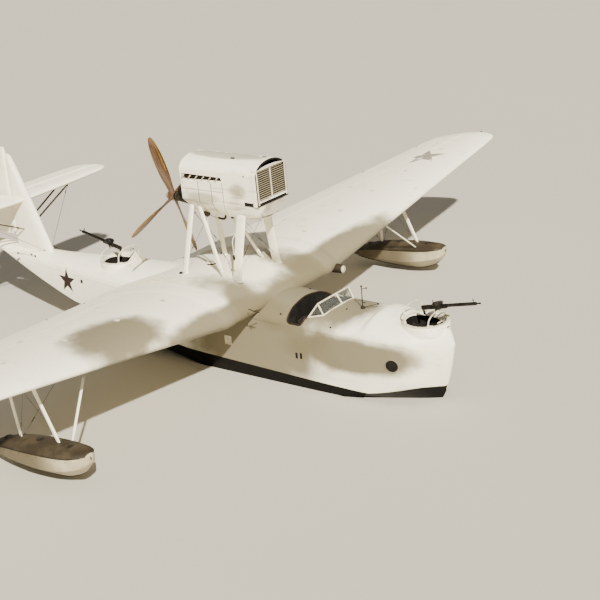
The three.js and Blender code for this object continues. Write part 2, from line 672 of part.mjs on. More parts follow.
// Exhaust stubs, six a side on one strip that fills the slot
const STUBS = 6;
let exhaust = block([fore(6290), ENGINE_HALF + GAP, high(4440)],
  [fore(5305), COWL_HALF - COWL_WALL - GAP, high(4520)]);
for (let i = 0; i < STUBS; i += 1) {
  const x = fore(5400 + i * 178);
  exhaust = exhaust.add(bar([x, 425, high(4482)], [x - 70, 520, high(4486)], 24, 22, 8));
}
for (const [side, turnOver] of SIDES) {
  piece(`exhaust_${side}`, turnOver(exhaust), 'steel');
}

// Gearbox cone behind the housing, and the propeller
const HUB_RADIUS = 105;
const HUB_HALF = 85;
const gearbox = bar([fore(NACELLE_REAR_AFT + GAP), 0, high(SHAFT_Z)],
  [fore(PROP_AFT - HUB_HALF - GAP), 0, high(SHAFT_Z)], 145, 88, 16);
piece('gearbox', gearbox, 'dark');

let propeller = bar([fore(PROP_AFT - HUB_HALF), 0, high(SHAFT_Z)],
  [fore(PROP_AFT + HUB_HALF), 0, high(SHAFT_Z)], HUB_RADIUS, HUB_RADIUS, 16);
propeller = propeller.add(bar([fore(PROP_AFT + HUB_HALF - 5), 0, high(SHAFT_Z)],
  [fore(PROP_AFT + HUB_HALF + 120), 0, high(SHAFT_Z)], 85, 22, 16));
// Blade stations. Columns: radius, width, thickness, pitch angle in degrees
const BLADE = [
  [60, 120, 90, 62],
  [260, 150, 62, 54],
  [560, 205, 40, 40],
  [900, 215, 26, 29],
  [1250, 170, 16, 22],
  [PROP_RADIUS - 30, 90, 9, 19],
  [PROP_RADIUS, 36, 5, 19],
];
const BLADE_OUTLINE = [[-0.5, 0], [-0.3, 0.36], [0, 0.5], [0.3, 0.34], [0.5, 0],
  [0.3, -0.3], [0, -0.42], [-0.3, -0.3]];
const bladeRing = ([radius, width, thickness, pitch]) => BLADE_OUTLINE.map(([w, t]) => {
  const angle = THREE.MathUtils.degToRad(pitch);
  const [u, v] = [w * width, t * thickness];
  return [u * Math.sin(angle) + v * Math.cos(angle), u * Math.cos(angle) - v * Math.sin(angle), radius];
});
const blade = loft(BLADE.map(bladeRing));
const BLADES = 4;
const PROP_REST = 20;
for (let i = 0; i < BLADES; i += 1) {
  const copy = blade.clone();
  copy.rotateX(THREE.MathUtils.degToRad(PROP_REST + i * 360 / BLADES));
  copy.translate(fore(PROP_AFT), 0, high(SHAFT_Z));
  propeller = propeller.add(solid(copy));
}
piece('propeller', propeller, 'wood');

// Struts that carry the engine. Columns: name, foot aft, foot y, top aft, top y, chord, thickness
const PYLON = [
  ['front', 5030, 660, 4950, 345, 230, 70],
  ['rear', 6430, 650, 6275, 330, 130, 56],
  ['diagonal', 5330, 655, 6110, 335, 96, 50],
];
for (const [name, footAft, footY, topAft, topY, chord, thick] of PYLON) {
  const foot = [fore(footAft), footY, high(2380)];
  const top = [fore(topAft), topY, high(3900)];
  for (const [side, turnOver] of SIDES) {
    const leg = turnOver(strut(foot, top, chord, thick))
      .subtract(moved(wingCentre, 0, 0, GAP)).subtract(moved(belly, 0, 0, -GAP));
    piece(`pylon_${name}_${side}`, leg, 'cream');
  }
}

// Wing floats. Columns: aft, keel z, chine y, chine z, deck edge y, deck edge z, crown z
const FLOAT_Y = 5830;
const FLOAT = [
  [4200, 1010, 90, 1030, 95, 1180, 1215],
  [4290, 880, 190, 985, 200, 1180, 1240],
  [4500, 740, 265, 925, 275, 1150, 1262],
  [4900, 620, 300, 850, 310, 1110, 1260],
  [5400, 590, 300, 800, 310, 1070, 1220],
  [6000, 615, 255, 790, 265, 1010, 1140],
  [6500, 660, 160, 770, 170, 910, 1000],
  [6830, 720, 50, 760, 55, 800, 830],
];
const floatBody = moved(solid(loft(FLOAT.map(hullRing))), 0, FLOAT_Y, 0);
// Float struts. Columns: name, foot aft, foot y, foot z, top aft, top y, chord, thickness
const FLOAT_STRUTS = [
  ['front', 4900, 5825, 1150, 5500, 5830, 95, 48],
  ['rear', 5950, 5815, 1030, 6040, 5890, 80, 42],
  ['brace', 4830, 5650, 1150, 5340, 4560, 60, 32],
];
const WING_UNDER_Z = 2480;
for (const [name, footAft, footY, footZ, topAft, topY, chord, thick] of FLOAT_STRUTS) {
  const leg = strut([fore(footAft), footY, high(footZ)], [fore(topAft), topY, high(WING_UNDER_Z)],
    chord, thick)
    .subtract(moved(floatBody, 0, 0, GAP)).subtract(moved(panel, 0, 0, -GAP));
  for (const [side, turnOver] of SIDES) {
    piece(`float_strut_${name}_${side}`, turnOver(leg), 'cream');
  }
}
for (const [side, turnOver] of SIDES) {
  piece(`float_${side}`, turnOver(floatBody), 'grey');
}

// Gun ring: a turning ring with two hoops and a saddle that holds the gun's pivot
const RING_GAP = 0.5;
const HOOP_BAR = 13;
function hoop(x, z, halfWidth, height, lean) {
  const path = new THREE.CurvePath();
  const at = (y, up) => new THREE.Vector3(x + lean * up / height, y, z + up);
  path.add(new THREE.LineCurve3(at(-halfWidth, 0), at(-halfWidth, height * 0.45)));
  path.add(new THREE.QuadraticBezierCurve3(at(-halfWidth, height * 0.45),
    at(-halfWidth * 0.9, height), at(0, height)));
  path.add(new THREE.QuadraticBezierCurve3(at(0, height),
    at(halfWidth * 0.9, height), at(halfWidth, height * 0.45)));
  path.add(new THREE.LineCurve3(at(halfWidth, height * 0.45), at(halfWidth, 0)));
  const round = new THREE.Shape().absarc(0, 0, HOOP_BAR, 0, Math.PI * 2);
  const body = new THREE.ExtrudeGeometry(round, { steps: 18, curveSegments: 3, extrudePath: path });
  return solid(body);
}
const PIVOT_UP = 290;
const AHEAD_HOOP_UP = 220;
const GUN_RISE = 12;
const PIVOT_AHEAD = 260;
const CHEEK_INNER = 34;
function gunRing(aft, top, facing) {
  const x = fore(aft);
  const low = top + RING_GAP;
  const ring = turned([[PIT_RADIUS + 8, low], [RING_RADIUS + 20, low], [RING_RADIUS + 20, low + 26],
    [PIT_RADIUS + 8, low + 26], [PIT_RADIUS + 8, low]], x, 0);
  const ahead = hoop(x + facing * 250, low + 12, 318, AHEAD_HOOP_UP, facing * 30);
  const behind = hoop(x - facing * 250, low + 12, 318, 300, -facing * 40);
  const cheekX = [x + facing * (PIVOT_AHEAD - 22), x + facing * (PIVOT_AHEAD + 32)].sort((p, q) => p - q);
  const cheeks = [-1, 1].map((turn) => block(
    [cheekX[0], Math.min(turn * CHEEK_INNER, turn * (CHEEK_INNER + 10)), low + AHEAD_HOOP_UP - 10],
    [cheekX[1], Math.max(turn * CHEEK_INNER, turn * (CHEEK_INNER + 10)), low + PIVOT_UP + 18]));
  return join(ring, ahead, behind, ...cheeks);
}
// Gun with its body, barrel jacket, drum and sights, pointing along +X from its pivot
function gun(aft, top, facing) {
  const receiver = block([-330, -24, -20], [230, 24, 62]);
  const grip = block([-320, -16, -120], [-285, 16, -10]);
  const jacket = bar([220, 0, 30], [880, 0, 30], 27, 27, 10);
  const muzzle = bar([870, 0, 30], [960, 0, 30], 13, 19, 10);
  const drum = turned([[0, 60], [105, 60], [105, 104], [0, 104]], 40, 0, 16);
  const sight = block([812, -6, 40], [828, 6, 118]);
  const rear = block([-60, -6, 100], [-44, 6, 150]);
  const rearPost = block([-64, -10, 50], [-40, 10, 110]);
  const trunnion = bar([0, -CHEEK_INNER + GAP, 0], [0, CHEEK_INNER - GAP, 0], 12, 12, 10);
  const whole = join(receiver, grip, jacket, muzzle, drum, sight, rearPost, rear, trunnion);
  const aimed = whole.rotate([0, -GUN_RISE, 0]).rotate([0, 0, facing > 0 ? 0 : 180]);
  return moved(aimed, fore(aft) + facing * PIVOT_AHEAD, 0, top + RING_GAP + PIVOT_UP);
}
piece('nose_ring', gunRing(NOSE_RING_AFT, COAMING_TOP.nose, 1), 'grey');
piece('nose_gun', gun(NOSE_RING_AFT, COAMING_TOP.nose, 1), 'steel');
piece('rear_ring', gunRing(REAR_RING_AFT, COAMING_TOP.rear, -1), 'grey');
piece('rear_gun', gun(REAR_RING_AFT, COAMING_TOP.rear, -1), 'steel');

// Hood ahead of the rear ring: two flat panels that meet on a ridge
const HOOD = { prow: [8250, 0, 2160], apex: [8465, 0, 2440], front: [8240, 350, 2085],
  rear: [8600, 390, 2085] };
const HOOD_THICK = 9;
function hoodHalf(turn) {
  const corner = ([aft, y, z], drop) => [fore(aft), turn * y, high(z) - drop];
  const loop = (drop) => [HOOD.prow, HOOD.apex, HOOD.rear, HOOD.front].map((c) => corner(c, drop));
  return solid(loft([loop(0), loop(HOOD_THICK)]));
}
piece('wind_hood', hoodHalf(1).add(hoodHalf(-1)).subtract(moved(afterbody, 0, 0, GAP)), 'cream');

// Windscreen: bars on the deck and four panes behind them
const SCREEN = {
  centreFoot: [2940, 0, 2070], centreTop: [3070, 0, 2255],
  cornerFoot: [3030, 510, 1990], cornerTop: [3140, 513, 2210],
  rearFoot: [3315, 625, 1945],
};
const SCREEN_BAR = 15;
const SCREEN_EDGES = [
  ['centreFoot', 'cornerFoot'], ['centreTop', 'cornerTop'], ['cornerFoot', 'cornerTop'],
  ['cornerFoot', 'rearFoot'], ['cornerTop', 'rearFoot'], ['centreFoot', 'centreTop'],
];
const screenPoint = (name, turn, aftBy = 0, inBy = 0) => {
  const [aft, y, z] = SCREEN[name];
  return [fore(aft + aftBy), turn * Math.max(y - inBy, 0), high(z)];
};
const SCREEN_CORNER = 11;
const screenBars = (grow) => join(...[1, -1].flatMap((turn) => SCREEN_EDGES.flatMap(([a, b]) => {
  const [p, q] = [screenPoint(a, turn), screenPoint(b, turn)];
  const half = SCREEN_CORNER + grow;
  return [bar(p, q, SCREEN_BAR + grow, SCREEN_BAR + grow, 8),
    ...[p, q].map((corner) => block(corner.map((v) => v - half), corner.map((v) => v + half)))];
})));
piece('windscreen_frame', screenBars(0).subtract(moved(forebody, 0, 0, GAP)), 'cream');
const PANE = 6;
function pane(names, turn, aftBy, inBy) {
  const loop = (back, inward) => names.map((n) => screenPoint(n, turn, aftBy + back, inBy + inward));
  const sideways = names.includes('rearFoot');
  return solid(loft([loop(0, 0), sideways ? loop(0, PANE) : loop(PANE, 0)]));
}
const panes = join(...[1, -1].flatMap((turn) => [
  pane(['centreFoot', 'centreTop', 'cornerTop', 'cornerFoot'], turn, 22, 0),
  pane(['cornerFoot', 'cornerTop', 'rearFoot'], turn, 20, 20)]));
piece('windscreen_glass', panes.subtract(moved(forebody, 0, 0, GAP))
  .subtract(screenBars(GAP)), 'glass');

// Seats side by side, the control column and the instrument panel
const SEAT_Y = 318;
const SEAT_HALF = 190;
const seat = join(
  block([fore(3640), SEAT_Y - 130, high(WELL_FLOOR) + GAP], [fore(3400), SEAT_Y + 130, high(1290)]),
  block([fore(3670), SEAT_Y - SEAT_HALF, high(1280)], [fore(3320), SEAT_Y + SEAT_HALF, high(1335)]),
  block([fore(3695), SEAT_Y - SEAT_HALF, high(1280)], [fore(3660), SEAT_Y + SEAT_HALF, high(1790)]));
for (const [side, turnOver] of SIDES) {
  piece(`seat_${side}`, turnOver(seat), 'leather');
}
const WHEEL_Z = 1610;
const wheelRim = turned([[118, -11], [140, -11], [140, 11], [118, 11], [118, -11]], 0, 0, 20)
  .add(block([-125, -12, -9], [125, 12, 9])).rotate([0, 68, 0]);
const column = join(
  bar([fore(3205), SEAT_Y, high(WELL_FLOOR) + GAP], [fore(3245), SEAT_Y, high(WHEEL_Z)], 26, 20),
  moved(wheelRim, fore(3262), SEAT_Y, high(WHEEL_Z)));
piece('control_column', column.subtract(moved(forebody.subtract(well), 0, 0, GAP)), 'dark');
piece('instrument_panel', block([fore(WELL_FRONT + 26), -455, high(1690)],
  [fore(WELL_FRONT) - GAP, 455, high(1965)]), 'dark');

// Mast on the foredeck with a small arm
const MAST_AFT = 2450;
const mast = join(
  bar([fore(MAST_AFT), 0, high(1990)], [fore(MAST_AFT), 0, high(2480)], 12, 9, 10),
  bar([fore(MAST_AFT), 0, high(1990)], [fore(MAST_AFT), 0, high(2085)], 44, 34, 12),
  bar([fore(MAST_AFT), 0, high(2478)], [fore(MAST_AFT), 0, high(2515)], 24, 20, 10),
  bar([fore(MAST_AFT), 0, high(2440)], [fore(MAST_AFT - 60), 45, high(2450)], 8, 8, 8),
  bar([fore(MAST_AFT - 55), 42, high(2449)], [fore(MAST_AFT - 78), 60, high(2453)], 20, 20, 8),
  bar([fore(MAST_AFT), 0, high(2060)], [fore(2215), 170, high(2110)], 9, 9, 8),
  bar([fore(2225), 163, high(2108)], [fore(2195), 185, high(2114)], 24, 24, 10));
piece('sight_mast', mast.subtract(moved(forebody, 0, 0, GAP)), 'dark');

export default boat;
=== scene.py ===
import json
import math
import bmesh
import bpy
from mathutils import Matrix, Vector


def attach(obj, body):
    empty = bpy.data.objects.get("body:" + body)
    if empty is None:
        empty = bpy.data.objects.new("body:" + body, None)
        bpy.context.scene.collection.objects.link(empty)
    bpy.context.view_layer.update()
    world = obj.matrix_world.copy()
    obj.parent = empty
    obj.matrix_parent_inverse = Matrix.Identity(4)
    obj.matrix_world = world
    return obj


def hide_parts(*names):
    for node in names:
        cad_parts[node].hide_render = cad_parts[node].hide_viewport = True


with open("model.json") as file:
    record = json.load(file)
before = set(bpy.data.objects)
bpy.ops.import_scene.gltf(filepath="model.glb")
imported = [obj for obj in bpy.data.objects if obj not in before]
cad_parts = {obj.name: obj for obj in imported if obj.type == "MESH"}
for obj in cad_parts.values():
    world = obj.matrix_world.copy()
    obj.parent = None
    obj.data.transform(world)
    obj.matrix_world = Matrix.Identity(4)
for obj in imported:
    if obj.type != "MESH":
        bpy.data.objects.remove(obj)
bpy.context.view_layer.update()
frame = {"record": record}

# %% [markdown]
# A flying boat of the 1930s is dressed here around its plain engineering model. Each solid of that
# model keeps its place and its joint, and a finer skin takes over what the eye sees. Almost all of
# the boat is thin painted skin over frames, so nearly every mesh below is a row of cross-sections
# with faces stretched between them: the way a loftsman draws a hull, and one that keeps long curves
# smooth with little code. Everything is in metres, X forward, Y to port and Z up.

# %% [markdown]
# Boat builders measure a hull from its bow and its keel, and that is how the tables below read:
# distance aft of the bow, distance out to port and height above the keel. One small function turns
# such a place into the frame's own coordinates, where the origin is at the main step on the
# waterline. A few more helpers draw smooth curves through a handful of numbers, so that a table can
# stay short.

# %% Places on the boat
STEP_AFT, DRAFT = 6.1, 0.5
X_WAY, Y_WAY, Z_WAY = Vector((1, 0, 0)), Vector((0, 1, 0)), Vector((0, 0, 1))


def at(aft, out, up):
    """Point of the frame for a distance aft of the bow, out to port and above the keel."""
    return Vector((STEP_AFT - aft, out, up - DRAFT))


def mirror(p):
    return Vector((p[0], -p[1], p[2]))


def spread(start, end, count):
    """Evenly spaced numbers from start to end, both included."""
    return [start + (end - start) * i / (count - 1) for i in range(count)]


def turns(count, first=0.0):
    """Evenly spaced angles of one full turn."""
    return [first + 2 * math.pi * k / count for k in range(count)]


def spoke(a):
    """Unit vector in the plane of the propeller's disc; deck_spoke is the same in the deck's plane."""
    return Vector((0, math.cos(a), math.sin(a)))


def deck_spoke(a):
    return Vector((math.cos(a), math.sin(a), 0))


def curve_through(rows, aft):
    """All columns of a table at one place, on a smooth curve that never overshoots its rows."""
    last = len(rows) - 1
    i = max(0, min(last - 1, sum(row[0] <= aft for row in rows) - 1))
    step = rows[i + 1][0] - rows[i][0]
    t = (aft - rows[i][0]) / step

    def rise(k, column):
        return (rows[k + 1][column] - rows[k][column]) / (rows[k + 1][0] - rows[k][0])

    def slope(k, column):
        if k in (0, last):
            return rise(0 if k == 0 else last - 1, column)
        before, after = rise(k - 1, column), rise(k, column)
        return 0.0 if before * after <= 0 else 2 * before * after / (before + after)

    return [(1 + 2 * t) * (1 - t) ** 2 * rows[i][column] + t * (1 - t) ** 2 * step * slope(i, column)
            + t * t * (3 - 2 * t) * rows[i + 1][column] + t * t * (t - 1) * step * slope(i + 1, column)
            for column in range(1, len(rows[0]))]


def smooth_line(points, between=4):
    """Catmull-Rom curve through a short list of points."""
    points = [Vector(p) for p in points]
    line = []
    for i, (p1, p2) in enumerate(zip(points, points[1:])):
        p0, p3 = points[max(i - 1, 0)], points[min(i + 2, len(points) - 1)]
        for t in spread(0, 1, between + 1)[:-1]:
            line.append(0.5 * (2 * p1 + (p2 - p0) * t + (2 * p0 - 5 * p1 + 4 * p2 - p3) * t * t
                               + (3 * p1 - p0 - 3 * p2 + p3) * t ** 3))
    return line + [points[-1]]


print("bow tip at", tuple(round(v, 3) for v in at(0, 0, 1.8)))

# %% [markdown]
# The camera stands where the photograph was taken, ahead of the boat, to starboard and above, with
# the slight roll of a hand-held shot. Three angles describe its view, and a matrix of three unit
# vectors turns it.

# %% Camera
CAMERA_PLACE = (17.4894, -18.9652, 10.5698)
AZIMUTH, ELEVATION, ROLL = (math.radians(a) for a in (39.02964, 20.41821, -5.66823))


def link(name, data):
    """New object in the scene that shows a mesh, a camera or a light."""
    made = bpy.data.objects.new(name, data)
    bpy.context.collection.objects.link(made)
    return made


back = Vector((math.sin(AZIMUTH) * math.cos(ELEVATION), -math.cos(AZIMUTH) * math.cos(ELEVATION),
               math.sin(ELEVATION)))
level = Z_WAY.cross(back).normalized()
upright = back.cross(level)
right = math.cos(ROLL) * level + math.sin(ROLL) * upright
up = -math.sin(ROLL) * level + math.cos(ROLL) * upright
camera_data = bpy.data.cameras.new("camera")
camera_data.lens, camera_data.sensor_width, camera_data.clip_end = 78.156, 36.0, 400
camera_data.sensor_fit = "HORIZONTAL"
camera = link("camera", camera_data)
camera.matrix_world = Matrix((right, up, back)).transposed().to_4x4()
camera.location = CAMERA_PLACE
bpy.context.scene.camera = camera
print("camera", round(Vector(CAMERA_PLACE).length, 1), "m from the step")

# %% [markdown]
# A workbench collects the corners and faces of one piece before it becomes a mesh. Its main tool is
# a skin over rings, because nearly every part of a boat is a row of sections. Collecting first and
# making one mesh at the end is far faster than joining hundreds of objects, and each face
# remembers its finish.

# %% Workbench
class Workbench:
    """Corners and faces of one piece; finish is the number of the finish that new faces take."""

    def __init__(self, finish=0):
        self.points, self.faces, self.finishes, self.finish = [], [], [], finish

    def add(self, points, faces):
        start = len(self.points)
        self.points.extend(Vector(p) for p in points)
        self.faces.extend([start + i for i in face] for face in faces)
        self.finishes.extend([self.finish] * len(faces))

    def skin(self, rings, around=True, loop=False):
        """Faces from each ring to the next; closed rings get a flat end, unless the row is a loop."""
        count, rows = len(rings[0]), len(rings)
        faces = []
        for r in range(rows if loop else rows - 1):
            after = (r + 1) % rows
            for i in range(count if around else count - 1):
                j = (i + 1) % count
                faces.append((r * count + i, r * count + j, after * count + j, after * count + i))
        if around and not loop:
            faces.append(tuple(range(count))[::-1])
            faces.append(tuple(range((rows - 1) * count, rows * count)))
        self.add([p for ring in rings for p in ring], faces)

    def placed(self, matrix):
        self.points = [matrix @ p for p in self.points]
        return self

    def other_side(self):
        """A copy of the work on the other side of the boat."""
        copy = type(self)()
        copy.points = [mirror(p) for p in self.points]
        copy.faces = [face[::-1] for face in self.faces]
        copy.finishes = self.finishes[:]
        return copy

    def mirrored(self):
        """The work and its copy on the other side, in one bench."""
        copy, start = self.other_side(), len(self.points)
        self.points += copy.points
        self.faces += [[start + i for i in face] for face in copy.faces]
        self.finishes += copy.finishes
        return self


print("workbench with", sum(name[0] != "_" for name in vars(Workbench)), "tools")

# %% [markdown]
# The small parts of the boat are a few simple shapes: a round tube along a path, a streamlined bar,
# a plate, a box, a body turned about an axis, a screw head and an eye. Each is a short row of rings
# for the same skin. A tube takes the side of each ring from the ring before it, so that it doesn't
# twist where its path bends.

# %% Shapes
def across(direction):
    """Two unit vectors square to a direction, the first as level as it can be."""
    direction = direction.normalized()
    side = Z_WAY.cross(direction)
    side = side.normalized() if side.length > 1e-4 else Y_WAY.copy()
    return side, direction.cross(side)


class Bench(Workbench):
    """Workbench with the shapes that this boat repeats."""

    def tube(self, path, radius, sides=10, closed=False):
        path = [Vector(p) for p in path]
        radii = radius if isinstance(radius, list) else [radius] * len(path)
        side, over = across(path[1] - path[0])
        rings = []
        for i, point in enumerate(path):
            before = path[i - 1] if i or closed else point
            after = path[(i + 1) % len(path)] if closed or i + 1 < len(path) else point
            along = (after - before).normalized()
            side = (side - side.dot(along) * along).normalized()
            over = along.cross(side)
            rings.append([point + radii[i] * (math.cos(a) * side + math.sin(a) * over) for a in turns(sides)])
        self.skin(rings, loop=closed)

    def pipe(self, places, radius, sides):
        """Tube on a smooth curve through places on the boat."""
        self.tube(smooth_line([at(*place) for place in places]), radius, sides)

    def foil(self, start, end, stations, sides, chord=1.0, thick=1.0):
        """Streamlined bar; each station is a share of its length, of the chord and of the thickness."""
        along = (end - start).normalized()
        ahead = (X_WAY - along.x * along).normalized()
        side = along.cross(ahead)
        self.skin([[start.lerp(end, t) + ahead * chord * c / 2 * math.cos(a)
                    + side * thick * w / 2 * math.sin(a) * (0.78 + 0.22 * math.cos(a)) for a in turns(sides)]
                   for t, c, w in stations])

    def plate(self, outline, through):
        """Flat outline with a thickness, half of it on each side."""
        half = Vector(through) / 2
        self.skin([[Vector(p) - half for p in outline], [Vector(p) + half for p in outline]])

    def box(self, centre, sizes, axes=(X_WAY, Y_WAY, Z_WAY)):
        x, y, z = (axis * size for axis, size in zip(axes, sizes))
        corners = [Vector(centre) + (x * sx + y * sy) / 2 for sx, sy in ((-1, -1), (1, -1), (1, 1), (-1, 1))]
        self.plate(corners, z)

    def turned(self, profile, centre, axis=Z_WAY, sides=24, closed=False):
        """Body turned about an axis; the profile is radius and distance along the axis."""
        centre, axis = Vector(centre), Vector(axis).normalized()
        side, over = across(axis)
        self.skin([[centre + axis * height + max(radius, 1e-5) * (math.cos(a) * side + math.sin(a) * over)
                    for a in turns(sides)] for radius, height in profile], loop=closed)

    def dome(self, centre, axis, radius, sides=8):
        """Round head of a screw or rivet."""
        self.turned([(radius, -radius * 0.3), (radius, 0), (radius * 0.72, radius * 0.42),
                     (0, radius * 0.6)], centre, axis, sides)

    def eye(self, centre, axis, inner, outer, half, sides):
        """Flat ring, half of its thickness on each side."""
        self.turned([(inner, -half), (outer, -half), (outer, half), (inner, half)], centre, axis, sides,
                    closed=True)


print("bench with", sum(name[0] != "_" for name in vars(Bench)), "shapes")

# %% [markdown] A bench becomes a mesh in one step: touching corners are welded, slivers dissolved
# and all faces turned outwards, which a Boolean cut and smooth shading both need. Edges sharper
# than the crease angle stay crisp.

# %% From bench to piece
WELD = 1e-5


def mesh_of(name, bench, finishes=()):
    mesh = bpy.data.meshes.new(name)
    mesh.from_pydata([tuple(p) for p in bench.points], [], bench.faces)
    for finish in finishes:
        mesh.materials.append(finish)
    mesh.polygons.foreach_set("material_index", bench.finishes)
    work = bmesh.new()
    work.from_mesh(mesh)
    bmesh.ops.remove_doubles(work, verts=work.verts, dist=WELD)
    bmesh.ops.dissolve_degenerate(work, edges=work.edges, dist=WELD)
    bmesh.ops.recalc_face_normals(work, faces=work.faces)
    work.to_mesh(mesh)
    work.free()
    return mesh


def smooth(mesh, crease=38):
    mesh.shade_smooth()
    mesh.set_sharp_from_angle(angle=math.radians(crease))


def make(name, bench, finishes, replaces=(), crease=38, body="root"):
    """Turns a bench into one piece that rides on a body and may take the place of solids."""
    piece = link(name, mesh_of(name, bench, finishes))
    smooth(piece.data, crease)
    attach(piece, body)
    if replaces:
        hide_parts(*replaces)
    return piece


def make_pair(node, bench, finishes, crease, body="root", ending="_skin"):
    """A piece for each side in place of that side's solid; {} in a name stands for the side."""
    return [make(node.format(side) + ending, work, finishes, [node.format(side)], crease,
                 body.format(side))
            for side, work in (("left", bench), ("right", bench.other_side()))]


def cut(piece, *tools):
    """Cuts closed tools out of a piece, with the Boolean modifier applied at once."""
    for tool in tools:
        cutter = link("cutter", mesh_of("cutter", tool))
        modifier = piece.modifiers.new("cut", "BOOLEAN")
        modifier.object, modifier.operation, modifier.solver = cutter, "DIFFERENCE", "EXACT"
        bpy.context.view_layer.update()
        result = bpy.data.meshes.new_from_object(
            piece.evaluated_get(bpy.context.evaluated_depsgraph_get()))
        piece.modifiers.clear()
        spent = (piece.data, cutter.data)
        piece.data = result
        bpy.data.objects.remove(cutter)
        for mesh in spent:
            bpy.data.meshes.remove(mesh)
    smooth(piece.data)


def refinish(piece, number, test):
    """Moves faces from the first finish to another where a test of their middle and normal agrees."""
    chosen = [face for face in piece.data.polygons
              if face.material_index == 0 and test(face.center, face.normal)]
    for face in chosen:
        face.material_index = number
    return len(chosen)


print("corners closer than", WELD, "m are welded")

# %% [markdown]
# Paint on an old machine is never one colour. Each finish below starts as a base colour and gets
# soft patches, streaks and grain laid over it in turn, all worked out from the place on the boat,
# so that a patch runs on across the pieces that it covers. A small class keeps that readable: every
# method adds a shader node and hands back a socket, and numbers that never vary are set on the
# shader itself.

# %% Shader nodes
def shade(red, green, blue):
    """Colour of a paint chip, given as 0 to 255, in the linear values that Blender mixes."""
    return tuple((v / 255 / 12.92 if v < 10 else ((v / 255 + 0.055) / 1.055) ** 2.4)
                 for v in (red, green, blue)) + (1.0,)


class NodeDesk:
    """One material and its shader nodes."""

    def __init__(self, name, colour, roughness, metallic=0.0, **sockets):
        self.material = bpy.data.materials.new(name)
        self.material.use_nodes = True
        self.tree = self.material.node_tree
        self.shader = self.tree.nodes["Principled BSDF"]
        for socket, value in {"Metallic": metallic, **sockets}.items():
            self.shader.inputs[socket.replace("_", " ")].default_value = value
        self.place = self.node("ShaderNodeTexCoord").outputs["Object"]
        self.colour, self.roughness, self.bump = colour, roughness, None

    def node(self, kind, inputs=(), **settings):
        """New node with its inputs fed, by name or number, from sockets or with constants."""
        made = self.tree.nodes.new(kind)
        for key, value in settings.items():
            setattr(made, key, value)
        for key, value in dict(inputs).items():
            self.feed(made.inputs[key], value)
        return made

    def feed(self, socket, value):
        if isinstance(value, bpy.types.NodeSocket):
            self.tree.links.new(value, socket)
        else:
            socket.default_value = value

    def math(self, operation, *values):
        return self.node("ShaderNodeMath", enumerate(values), operation=operation).outputs[0]

    def times(self, *values):
        return self.math("MULTIPLY", *values)

    def vector(self, operation, *values):
        made = self.node("ShaderNodeVectorMath", enumerate(values), operation=operation)
        return made.outputs["Value" if operation in ("LENGTH", "DOT_PRODUCT") else "Vector"]

    def axis(self, name, vector=None):
        return self.node("ShaderNodeSeparateXYZ", {0: vector or self.place}).outputs[name]

    def noise(self, scale, detail=3.0, stretch=None, source=None):
        """Cloudy pattern from 0 to 1; stretch above 1 on an axis packs it closer there."""
        source = source or (self.vector("MULTIPLY", self.place, stretch) if stretch else self.place)
        return self.node("ShaderNodeTexNoise",
                         {"Scale": scale, "Detail": detail, "Vector": source}).outputs["Fac"]

    def fade(self, value, low, high):
        """0 below low, 1 above high and smooth between them; low may be the larger one."""
        return self.node("ShaderNodeMapRange", {"Value": value, "From Min": low, "From Max": high},
                         interpolation_type="SMOOTHSTEP").outputs["Result"]


print("node desk with", sum(name[0] != "_" for name in vars(NodeDesk)), "tools")

# %% [markdown]
# On top of single nodes come masks, for a soft cloud or a star, and layers: paint, a second tone,
# gloss that drifts, and relief that the light picks up. Every layer goes over what is there already
# and hands the finish back, so that a whole coat of paint reads as one short chain.

